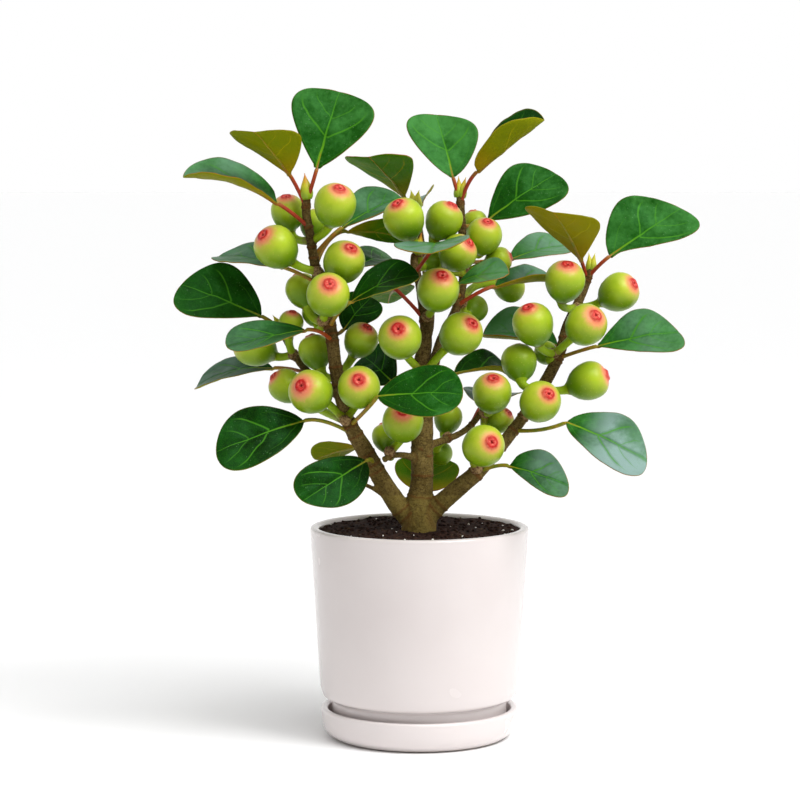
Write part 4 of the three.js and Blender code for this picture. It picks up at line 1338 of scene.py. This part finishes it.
@dataclass(frozen=True)
class Foliage:
    """The leaves, each a thin blade with a petiole that goes on as the midrib."""

    leaves: tuple[Leaf, ...]
    columns: int = 32
    rows: int = 40
    thickness: float = 0.62
    margin: float = 0.45
    petiole: float = 0.98
    sides: int = 12
    steps: int = 14
    turn: float = 0.35
    foot: float = 0.35
    foot_length: float = 0.12
    ribs: int = 12
    rib: float = 0.86
    rib_width: float = 0.62
    rib_tip: float = 0.2
    rib_depth: float = 0.35

    def build(self) -> None:
        """Builds every leaf."""
        upper = LeafFinish()
        finishes = (upper.make(), UnderFinish().make(upper), PetioleFinish().make())
        for leaf in self.leaves:
            clay = Clay()
            blade = Blade(leaf)
            self.add_blade(clay, blade)
            self.add_petiole(clay, blade)
            slot = Slot.LEAF_OLIVE if leaf.olive else Slot.LEAF_GREEN
            clay.piece(f"fine_leaf_{leaf.name}", slot, finishes, f"leaf_{leaf.name}")

    def add_blade(self, clay: Clay, blade: Blade) -> None:
        """Adds the two faces of a blade and the rim between them.

        Args:
            clay: The leaf's mesh.
            blade: The blade's form.
        """
        bm, leaf = clay.bm, blade.leaf
        grid = bmesh.ops.create_grid(bm, x_segments=self.columns, y_segments=self.rows, size=1)
        verts = grid["verts"]
        for vert in verts:
            across, t = vert.co.x, math.sin((vert.co.y + 1) * math.pi / 4)
            half = blade.half(across, t)
            edge = min((1 - abs(across)) * half, (1 - t) * blade.length)
            vert[clay.form] = (half * across / blade.reach, t, edge / MM)
            vert[clay.tone] = leaf.tone
            # Share of the painted sheen.
            vert[clay.wash] = leaf.painted_sheen
            vert.co = blade.at(across, t)
        faces = list({face for vert in verts for face in vert.link_faces})
        edges = list({edge for face in faces for edge in face.edges})
        bm.normal_update()
        if faces[0].normal.dot(blade.face) < 0:
            bmesh.ops.reverse_faces(bm, faces=faces)
            bm.normal_update()
        copy = bmesh.ops.duplicate(bm, geom=verts + faces + edges)["geom"]
        under, below = only(copy, bmesh.types.BMFace), only(copy, bmesh.types.BMVert)
        for group, way in ((verts, 0.5), (below, -0.5)):
            for vert in group:
                thin = min(1.0, self.margin + vert[clay.form].z * 0.5)
                vert.co += vert.normal * (way * self.thickness * thin * MM)
        for vert in below:
            vert[clay.tone] = leaf.tone if leaf.olive else leaf.below
        bmesh.ops.reverse_faces(bm, faces=under)
        rims = [edge for edge in bm.edges if edge.is_boundary]
        rim = bmesh.ops.bridge_loops(bm, edges=rims)["faces"]
        for finish, group in ((LeafPart.UNDER, under), (LeafPart.PETIOLE, rim)):
            for face in group:
                face.material_index = finish

    def add_petiole(self, clay: Clay, blade: Blade) -> None:
        """Adds the petiole and the midrib that it goes on as, under the blade.

        Args:
            clay: The leaf's mesh.
            blade: The blade's form.
        """
        leaf = blade.leaf
        stem = COURSES[leaf.stem]
        root = stem.at(stem.nearest(leaf.root))
        heading = (blade.at(0, 0.1) - blade.base).normalized()
        turn = blade.base - heading * ((blade.base - root).length * self.turn)
        if leaf.via:
            turn = VIEW.seen(leaf.via)
        rings = []
        for step in range(self.steps):
            share = step / self.steps
            girth = self.petiole * (1 + self.foot * bell(share, self.foot_length))
            rings.append(Ring(*arch(root, turn, blade.base, share), girth * MM, share))
        for step in range(self.ribs + 1):
            t = self.rib * step / self.ribs
            at = blade.at(0, t) - blade.face * (self.rib_depth * MM)
            ahead = (blade.at(0, t + 0.02) - blade.at(0, max(t - 0.02, 0))).normalized()
            girth = self.petiole * (1 - t / self.rib) * self.rib_width + self.rib_tip
            rings.append(Ring(at, ahead, girth * MM, 1 + t))
        for vert in clay.sweep(rings, self.sides, LeafPart.PETIOLE):
            share = vert[clay.form].y
            vert[clay.tone] = leaf.red * max(0.25, min(1.0, 1.6 - share))


@dataclass(frozen=True)
class Fruit:
    """The figs, each on a curved stalk, with the dry knob that the stalks of one axil share.

    The body is a fig's outline from its neck to the pit of its eye, as rows of (radius, height)
    in shares of the fig's radius.
    """

    bunches: tuple[Bunch, ...]
    sides: int = 40
    steps: int = 10
    stalk: float = 1.95
    neck: float = 1.2
    turn: float = 0.4
    knob: float = 2.9
    flakes: tuple[tuple[float, float, float], ...] = ((900, 700, 0.16), (2300, 500, 0.08))
    body: tuple[tuple[float, float], ...] = (
        (0.36, -1.12), (0.52, -0.98), (0.70, -0.80), (0.86, -0.54), (0.96, -0.25), (1.0, 0.03),
        (0.985, 0.25), (0.93, 0.45), (0.83, 0.635), (0.70, 0.78), (0.57, 0.865), (0.46, 0.915),
        (0.385, 0.935), (0.35, 0.955), (0.325, 0.995), (0.29, 1.03), (0.24, 1.05), (0.19, 1.05),
        (0.14, 1.04), (0.10, 1.035), (0.075, 1.015), (0.055, 0.985), (0.035, 0.965), (0.015, 0.96),
    )

    def build(self) -> None:
        """Builds every bunch."""
        finishes = (FigFinish().make(), StalkFinish().make(), KnobFinish().make())
        for bunch in self.bunches:
            clay = Clay()
            course = COURSES[bunch.stem]
            share = course.nearest(bunch.root)
            axil = course.at(share)
            ways = [(VIEW.seen(fig.middle) - axil).normalized() for fig in bunch.figs]
            away = Vector(bunch.lean) if bunch.lean else sum(ways, Vector((0, 0, 0)))
            knob = axil + away.normalized() * (course.radius(share) + MM)
            self.add_knob(clay, knob)
            for number, fig in enumerate(bunch.figs):
                self.add_fig(clay, fig, knob, number)
            clay.piece(f"fine_figs_{bunch.name}", Slot.FIG, finishes, f"figs_{bunch.name}")

    def add_knob(self, clay: Clay, knob: Vector) -> None:
        """Adds the knob, a rough ball.

        Args:
            clay: The bunch's mesh.
            knob: Its middle.
        """
        size = self.knob * MM
        made = bmesh.ops.create_icosphere(clay.bm, subdivisions=3, radius=size)["verts"]
        for vert in made:
            bump = 1.0
            for waves, shift, height in self.flakes:
                bump += noise(vert.co * waves + knob * shift) * height
            vert.co = knob + vert.co * bump
        for face in {face for vert in made for face in vert.link_faces}:
            face.material_index = FigPart.KNOB

    def add_fig(self, clay: Clay, fig: Fig, knob: Vector, number: int) -> None:
        """Adds one fig and its stalk.

        Args:
            clay: The bunch's mesh.
            fig: The fig's sizes.
            knob: Where the stalk starts.
            number: The fig's number in its bunch.
        """
        look = Vector(fig.look).normalized()
        radius = fig.width / 2 * MM
        middle = VIEW.seen(fig.middle)
        neck = middle - look * (self.neck * radius)
        turn = neck - look * (self.turn * (neck - knob).length)
        rings = []
        for step in range(self.steps):
            share = step / self.steps
            flare = 1 + 0.35 * share**4 + 0.25 * bell(share, 0.15)
            rings.append(Ring(*arch(knob, turn, neck, share), self.stalk * flare * MM, share))
        for across, up in self.body:
            rings.append(Ring(middle + look * (up * radius), look, across * radius, 1.0))
        verts = clay.sweep(rings, self.sides)
        stalk, skin = verts[: self.steps * self.sides], verts[self.steps * self.sides :]
        tone = (math.sin(fig.middle[0] * 1.7 + fig.middle[1] * 0.9 + number) + 1) / 2
        level = look.to_track_quat("Z", "Y").to_matrix().transposed()
        for vert in skin:
            local = level @ (vert.co - middle) / radius
            bump = self.swell(local, tone)
            vert.co += look * (self.lobes(local, tone) * radius) + (vert.co - middle) * bump
            vert[clay.form] = local
            vert[clay.tone] = tone
        # Painted shade: how far each point lies below the fig's middle, for the skin's darker lower
        # side.
        for vert in verts:
            vert[clay.wash] = (middle.z - vert.co.z) / radius
        for face in {face for vert in stalk for face in vert.link_faces}:
            face.material_index = FigPart.STALK

    def swell(self, local: Vector, tone: float) -> float:
        """Returns how far a fig's skin swells at a place, in shares of the radius there."""
        return noise(local * 1.6 + Vector((tone * 9, 0, 0))) * 0.018 * min(1.0, local.z + 1.3)

    def lobes(self, local: Vector, tone: float) -> float:
        """Folds the rim of a fig's eye.

        Args:
            local: A place on the fig, in shares of its radius.
            tone: The fig's own number.

        Returns:
            How far the rim rises there, in shares of the radius.
        """
        reach = math.hypot(local.x, local.y)
        angle = math.atan2(local.y, local.x)
        rise = math.cos(3 * angle + 6 * tone) * 0.02 * bell(reach - 0.2, 0.12)
        fold = noise(local * 7 + Vector((tone * 5, 0, 0))) * 0.05
        return rise + fold * max(0.0, 1 - reach / 0.36)


@dataclass(frozen=True)
class Buds:
    """The buds at the stems' tips."""

    buds: tuple[Bud, ...]
    sides: int = 16
    steps: int = 14
    sunk: float = 1.5
    slim: float = 0.8

    def build(self) -> None:
        """Builds every bud."""
        finishes = (BudFinish().make(),)
        for bud in self.buds:
            clay = Clay()
            point = Vector(bud.point).normalized()
            spread = point.cross(Vector((0.25, 1, 0.1))).normalized()
            for way in (0.0,) if bud.scales == 1 else (-1.0, 1.0):
                self.add_scale(clay, bud, point, spread * way)
            clay.piece(f"bud_{bud.stem}", Slot.BUD, finishes)

    def add_scale(self, clay: Clay, bud: Bud, point: Vector, out: Vector) -> None:
        """Adds one pointed scale.

        Args:
            clay: The bud's mesh.
            bud: The bud's sizes.
            point: The way that the bud points.
            out: The way that the scale leans from its twin, or zero.
        """
        foot = COURSES[bud.stem].at(1.0)
        width = bud.radius * (self.slim if out.length else 1.0) * MM
        rings = []
        for step in range(self.steps + 1):
            share = step / self.steps
            up = (bud.length + 1.3) * share - self.sunk
            lean = out * ((0.38 + 0.32 * share**3) * bud.radius * MM)
            ahead = (point + out * (0.9 * share * bud.radius / bud.length)).normalized()
            girth = max(0.06, (1 - share**1.3) * (0.8 + 2.4 * share * (1 - share)))
            rings.append(Ring(foot + point * (up * MM) + lean, ahead, girth * width, share))
        clay.sweep(rings, self.sides, tone=bud.blush)


@dataclass(frozen=True)
class Mark:
    """A sample of a stem's middle line: its place, its headings and its distance along the stem.

    The seed is the stem's own, and the scars are the distances at which rings lie on the stem.
    """

    at: Vector
    ahead: Vector
    across: Vector
    along: float
    radius: float
    seed: float
    scars: list[float]


@dataclass(frozen=True)
class Wood:
    """Trunk, branches and twigs, grown together in one skin, with rings at axils and collars."""

    grain: float = 0.6
    rings: int = 90
    sides: int = 24
    samples: int = 260
    smoothing: int = 4
    seed: float = 7.3
    scar: float = 0.6
    scar_height: float = 0.4
    fissure: float = 0.25
    pit: float = 0.13
    full: float = 5.0
    foot: float = 124.0
    fade: float = 70.0
    collars: tuple[tuple[str, Pixel], ...] = (
        ("trunk", (420, 496)), ("trunk", (422, 455)), ("trunk", (422, 447)), ("left", (401, 509)),
        ("left", (407, 515)), ("right", (441, 503)), ("right", (434, 510)), ("left", (376, 470)),
        ("right", (500, 447)), ("left", (336, 366)), ("trunk", (422, 372)),
    )

    def build(self) -> None:
        """Builds the wood."""
        bars = Clay()
        shares = [step / self.rings for step in range(self.rings + 1)]
        for course in COURSES.values():
            bars.sweep([course.ring(share) for share in shares], self.sides)
        skin = Clay(self.grow(bars))
        self.relieve(skin)
        skin.piece("fine_stem", Slot.BARK, (BarkFinish().make(),), "stem")

    def grow(self, bars: Clay) -> bmesh.types.BMesh:
        """Grows the stems together.

        Args:
            bars: The stems as bars that run into each other.

        Returns:
            One skin round all of them.
        """
        rough = bpy.data.meshes.new("stems")
        bars.bm.to_mesh(rough)
        bars.bm.free()
        obj = add_object("stems", rough)
        remesh = obj.modifiers.new("grow", "REMESH")
        remesh.mode = "VOXEL"
        remesh.voxel_size = self.grain * MM
        ready = obj.evaluated_get(bpy.context.evaluated_depsgraph_get())
        smooth = bpy.data.meshes.new_from_object(ready)
        bm = bmesh.new()
        bm.from_mesh(smooth)
        bpy.data.objects.remove(obj)
        for mesh in (rough, smooth):
            bpy.data.meshes.remove(mesh)
        return bm

    def relieve(self, skin: Clay) -> None:
        """Smooths the skin, lifts rings and ridges on it and notes each point's place on its stem.

        Args:
            skin: The skin.
        """
        axes = {f"use_axis_{axis}": True for axis in "xyz"}
        for _ in range(self.smoothing):
            bmesh.ops.smooth_vert(skin.bm, verts=skin.bm.verts, factor=0.5, **axes)
        skin.bm.normal_update()
        tree, marks = self.marks()
        for vert in skin.bm.verts:
            mark = marks[tree.find(vert.co)[1]]
            out = vert.co - mark.at
            along = mark.along + out.dot(mark.ahead) / MM
            u, v = out.dot(mark.across) / MM, out.dot(mark.ahead.cross(mark.across)) / MM
            fold = max(0.0, 1 - abs(out.length / mark.radius - 1.35) * 3)
            ragged = along + 0.5 * noise(Vector((u, v, along)) * 0.5)
            ring = max((bell(ragged - scar, self.scar) for scar in mark.scars), default=0.0)
            vert[skin.form] = (u + mark.seed, v, along)
            vert[skin.tone] = min(1.0, fold * 0.5 + ring * 0.9)
            # The paler foot, and painted light that fades with height above it.
            vert[skin.wash] = self.paleness_and_painted_light(vert.co)
            fissure = noise(Vector((u * 0.5 + mark.seed, v * 0.5, along * 0.2))) * self.fissure
            pit = noise(Vector((u * 1.4, v * 1.4, along * 1.1 + mark.seed))) * self.pit
            firm = min(1.0, mark.radius / (self.full * MM))
            lift = self.scar_height * ring + fissure * firm + pit
            vert.co += vert.normal * (lift * MM)

    def paleness_and_painted_light(self, point: Vector) -> float:
        """Returns 1 from the soil up the paler foot, then painted light that fades with height."""
        height = point.z / MM - self.foot
        return 1.0 if height < 0 else 0.45 * max(0.0, 1 - height / self.fade)

    def marks(self) -> tuple[KDTree, list[Mark]]:
        """Samples the stems' middle lines.

        Returns:
            A tree of the samples' places, and the samples.
        """
        marks = []
        for number, (name, course) in enumerate(COURSES.items()):
            across, along, last = Clay.upright, 0.0, course.at(0)
            line, scars = [], []
            for step in range(self.samples + 1):
                share = step / self.samples
                at, ahead = course.at(share), course.ahead(share)
                along += (at - last).length / MM
                last = at
                across = (across - ahead * across.dot(ahead)).normalized()
                radius = course.radius(share)
                line.append(Mark(at, ahead, across, along, radius, number * self.seed, scars))
            roots = [part.root for part in (*LEAVES, *BUNCHES) if part.stem == name]
            roots += [pixel for stem, pixel in self.collars if stem == name]
            scars += [line[round(course.nearest(root) * self.samples)].along for root in roots]
            marks += line
        tree = KDTree(len(marks))
        for index, mark in enumerate(marks):
            tree.insert(mark.at, index)
        tree.balance()
        return tree, marks


def turn_outline(outline: Sequence[tuple[float, float]], steps: int) -> bmesh.types.BMesh:
    """Spins an outline about the upright axis.

    Args:
        outline: Rows of (radius, height) in millimetres. Its ends meet, or both lie on the axis.
        steps: How many faces go round.

    Returns:
        The mesh, with its faces outwards.
    """
    bm = bmesh.new()
    verts = [bm.verts.new((radius * MM, 0, height * MM)) for radius, height in outline]
    edges = [bm.edges.new(pair) for pair in zip(verts, verts[1:])]
    if outline[0][0] > 0:
        edges.append(bm.edges.new((verts[-1], verts[0])))
    geom, way, full = verts + edges, (0, 0, 1), 2 * math.pi
    bmesh.ops.spin(bm, geom=geom, cent=(0, 0, 0), axis=way, angle=full, steps=steps, use_merge=True)
    bmesh.ops.remove_doubles(bm, verts=bm.verts, dist=0.01 * MM)
    bmesh.ops.recalc_face_normals(bm, faces=bm.faces)
    return bm


def rounded(outline: Sequence[Corner], steps: int = 6) -> list[tuple[float, float]]:
    """Rounds the corners of an outline.

    Args:
        outline: The corners in order.
        steps: How many points a rounded corner has.

    Returns:
        Rows of (radius, height).
    """
    made = []
    count = len(outline)
    for index, (radius, height, corner) in enumerate(outline):
        here = Vector((radius, height))
        if not corner:
            made.append((radius, height))
            continue
        ways = [Vector(outline[(index + step) % count][:2]) - here for step in (-1, 1)]
        start, end = (here + way.normalized() * min(corner, way.length * 0.48) for way in ways)
        made += [tuple(arch(start, here, end, step / steps)[0]) for step in range(steps + 1)]
    return made


@dataclass(frozen=True)
class Pottery:
    """The pot and its saucer, with the sizes of the solids that they replace."""

    rim: float = 55
    height: float = 106.7
    waist: float = 50.6
    waist_height: float = 24.6
    foot: float = 44.2
    wall: float = 4.4
    hollow: float = 0.3
    seat: float = 4.3
    recess: float = 2.5
    floor: float = 8.5
    drain: float = 5
    saucer: float = 50
    saucer_height: float = 15.2
    saucer_floor: float = 4
    unglazed: float = 0.4
    steps: int = 144

    def inside(self, height: float) -> float:
        """Returns the inner radius of the wall at a height."""
        share = (height - self.waist_height) / (self.height - self.waist_height)
        return self.waist + (self.rim - self.waist) * share - self.wall

    def build(self) -> None:
        """Builds both, with their feet unglazed."""
        finishes = (GlazeFinish().make(), RAW_CLAY.make())
        for node, outline in (("pot", self.pot()), ("saucer", self.dish())):
            clay = Clay(turn_outline(rounded(outline), self.steps))
            lowest = min(vert.co.z for vert in clay.bm.verts)
            for face in clay.bm.faces:
                height = face.calc_center_median().z
                face.material_index = int(height < lowest + self.unglazed * MM)
            clay.piece(f"fine_{node}", Slot.GLAZE, finishes, node)

    def pot(self) -> list[Corner]:
        """Lists the pot's corners.

        Returns:
            The corners, from the drain hole round the foot and the rim.
        """
        foot, seat, rim, waist = self.foot, self.seat, self.height, self.waist_height
        under, floor = seat + self.recess, seat + self.floor
        start, end = waist + 1.5, rim - 3
        wall = []
        for t in (0.0, 0.25, 0.5, 0.75, 1.0):
            radius = self.waist - self.hollow * (1 - t) ** 2 + (self.rim - self.waist) * t
            wall.append((radius, start + (end - start) * t, 0))
        return [
            (self.drain, under, 0.8),
            (foot - 6, under, 0.8),
            (foot - 5, seat, 0.9),
            (foot, seat, 1.2),
            (foot, waist - 5.5, 1.2),
            (foot + 4.6, waist - 3.6, 1.6),
            *wall,
            (self.rim, rim, 2.3),
            (self.inside(rim), rim, 2.1),
            (self.inside(floor + 16), floor + 16, 8),
            (foot - 6.5, floor, 6),
            (self.drain, floor, 0.8),
        ]

    def dish(self) -> list[Corner]:
        """Lists the saucer's corners.

        Returns:
            The corners, from under its middle round the rim.
        """
        out, top, floor = self.saucer, self.saucer_height, self.saucer_floor
        return [
            (0, 0.5, 0),
            (out - 12, 0.5, 0.4),
            (out - 11, 0, 0.3),
            (out - 6.5, 0, 1.4),
            (out - 0.9, 4.2, 5.2),
            (out, top, 1.9),
            (out - 3.7, top, 1.8),
            (out - 4.4, floor, 2.2),
            (0, floor, 0),
        ]


@dataclass(frozen=True)
class Grains:
    """Grains strewn on the soil: their number, least and greatest radius, and fineness."""

    name: str
    slot: Slot
    finish: SoilFinish | MineralFinish
    count: int
    sizes: tuple[float, float]
    detail: int


@dataclass(frozen=True)
class Bed:
    """The soil in the pot, with crumbs and white grains sunk into its top."""

    pottery: Pottery
    drop: float = 1.6
    dome: float = 1.2
    lumps: tuple[tuple[float, float], ...] = ((70, 1.0), (240, 0.55), (800, 0.35))
    steps: int = 120
    turns: int = 44
    gap: float = 0.35
    clear: float = 10.5
    margin: float = 2.5
    proud: float = 0.15
    rough: float = 0.35
    seed: int = 11
    strewn: tuple[Grains, ...] = (
        Grains("soil_crumbs", Slot.SOIL, SoilFinish(), 420, (0.4, 1.1), 1),
        Grains("perlite_grains", Slot.PERLITE, PERLITE, 24, (0.35, 0.75), 2),
    )

    def build(self) -> None:
        """Builds the soil and what lies in it."""
        self.add_fill()
        draw = random.Random(self.seed)
        for grains in self.strewn:
            self.scatter(grains, draw)

    @property
    def level(self) -> float:
        """The height of the soil's edge."""
        return self.pottery.height - self.drop

    def top(self, x: float, y: float) -> float:
        """Finds the height of the soil.

        Args:
            x: The place across, in metres.
            y: The place behind the middle, in metres.

        Returns:
            The height in metres.
        """
        edge = self.pottery.inside(self.level) * MM
        height = (self.level + self.dome * (1 - (math.hypot(x, y) / edge) ** 2)) * MM
        for number, (waves, size) in enumerate(self.lumps):
            height += noise(Vector((x, y, number)) * waves) * size * MM
        return height

    def add_fill(self) -> None:
        """Adds the body of soil, with its uneven top."""
        low = self.pottery.seat + self.pottery.floor + 0.3
        edge = self.pottery.inside(self.level) - self.gap
        wide = self.pottery.inside(low + 16) - 2 * self.gap
        outline = [(0, low), (34, low), (38, low + 4), (wide, low + 16), (edge, self.level - 4)]
        outline += [(edge * (1 - step / self.turns), self.level) for step in range(self.turns + 1)]
        clay = Clay(turn_outline(outline, self.steps))
        for vert in clay.bm.verts:
            if vert.co.z > (self.level - 0.5) * MM:
                vert.co.z = self.top(vert.co.x, vert.co.y)
        clay.piece("fine_soil", Slot.SOIL, (SoilFinish().make(),), "soil")

    def scatter(self, grains: Grains, draw: random.Random) -> None:
        """Scatters rough grains, half sunk into the soil.

        Args:
            grains: What is strewn.
            draw: The seeded source of the places.
        """
        clay = Clay()
        edge = (self.pottery.inside(self.level) - self.margin) * MM
        trunk = COURSES["trunk"].at(0.2)
        done = 0
        while done < grains.count:
            radius, turn = edge * math.sqrt(draw.random()), 2 * math.pi * draw.random()
            size = draw.uniform(*grains.sizes) * MM
            x, y = radius * math.cos(turn), radius * math.sin(turn)
            if math.hypot(x - trunk.x, y - trunk.y) < self.clear * MM:
                continue
            done += 1
            form = [draw.uniform(*span) for span in ((0.8, 1.3), (0.7, 1.1), (0.6, 0.9))]
            spin = Matrix.Rotation(draw.uniform(0, 6.28), 4, "Z")
            spin = spin @ Matrix.Rotation(draw.uniform(0, 1), 4, "X")
            move = Matrix.Translation((x, y, self.top(x, y) + size * self.proud))
            place = move @ spin @ Matrix.Diagonal((*form, 1))
            made = bmesh.ops.create_icosphere(clay.bm, subdivisions=grains.detail, radius=size)
            for vert in made["verts"]:
                rough = 1 + self.rough * noise(vert.co * 900 + Vector((done, 0, 0)))
                vert.co = place @ (vert.co * rough)
        clay.piece(grains.name, grains.slot, (grains.finish.make(),))


@dataclass(frozen=True)
class Studio:
    """Pale floor, soft light and the camera at the picture's angle. Lengths are in metres here.

    The sky's strengths are those at the horizon, overhead and behind the camera.
    """

    floor: Colour = (0.94, 0.94, 0.94)
    radius: float = 40.0
    drop: float = 0.0002
    horizon: float = 1.0
    overhead: float = 0.62
    front: float = 0.18
    top: float = 2.0
    top_place: Place = (0.45, -0.6, 1.3)
    spread: float = 60.0
    key: float = 7.5
    key_place: Place = (0.65, -0.57, 1.04)
    softbox: float = 0.5
    target: Place = (0, 0, 0.18)

    def build(self) -> None:
        """Builds the studio."""
        bm = bmesh.new()
        bmesh.ops.create_circle(bm, cap_ends=True, segments=96, radius=self.radius)
        mesh = bpy.data.meshes.new("floor")
        bm.to_mesh(mesh)
        bm.free()
        mesh.transform(Matrix.Translation((0, 0, -self.drop)))
        floor = add_object("floor", mesh)
        mesh.materials.append(Paint("floor", 0.1, roughness=0.9, base_color=self.floor).material)
        scene = bpy.context.scene
        scene.world = self.sky()
        scene.view_settings.view_transform = "Standard"
        self.add_light("top", "SUN", self.top_place, self.top).angle = math.radians(self.spread)
        self.add_light("key", "AREA", self.key_place, self.key).size = self.softbox
        camera = bpy.data.cameras.new("camera")
        camera.lens = VIEW.focal * VIEW.sensor / VIEW.size
        camera.sensor_width = VIEW.sensor
        scene.camera = add_object("camera", camera)
        scene.camera.location = Vector(VIEW.eye) * MM
        scene.camera.rotation_euler = (math.pi / 2 - VIEW.tilt, 0, 0)

    def sky(self) -> bpy.types.World:
        """Builds surroundings that are white at the horizon and dimmer overhead.

        Returns:
            The surroundings.
        """
        world = bpy.data.worlds.new("studio")
        world.use_nodes = True
        sky = Nodes(world.node_tree)
        _, y, z = sky.split(sky.node("ShaderNodeTexCoord", {}, {}, "Generated"))
        up = z.rise(0.1, 0.6, self.horizon, self.overhead)
        background = sky.tree.nodes["Background"].inputs
        sky.join((1, 1, 1), background["Color"])
        sky.join(up * y.rise(-0.95, 0.1, self.front, 1.0), background["Strength"])
        return world

    def add_light(self, name: str, kind: str, place: Place, power: float) -> bpy.types.Light:
        """Adds a light that shines from a place towards the crown.

        Args:
            name: The light's name.
            kind: Blender's type of light.
            place: Where it stands.
            power: Its strength.

        Returns:
            The light.
        """
        light = bpy.data.lights.new(name, kind)
        light.energy = power
        lamp = add_object(name, light)
        lamp.location = place
        away = Vector(place) - Vector(self.target)
        lamp.rotation_euler = away.to_track_quat("Z", "Y").to_euler()
        return light


def main() -> None:
    """Builds the studio and the pieces."""
    logging.basicConfig(level=logging.INFO, format="%(message)s")
    Studio().build()
    pottery = Pottery()
    pottery.build()
    Bed(pottery).build()
    Wood().build()
    Buds(BUDS).build()
    Foliage(LEAVES).build()
    Fruit(BUNCHES).build()


if __name__ == "__main__":
    main()
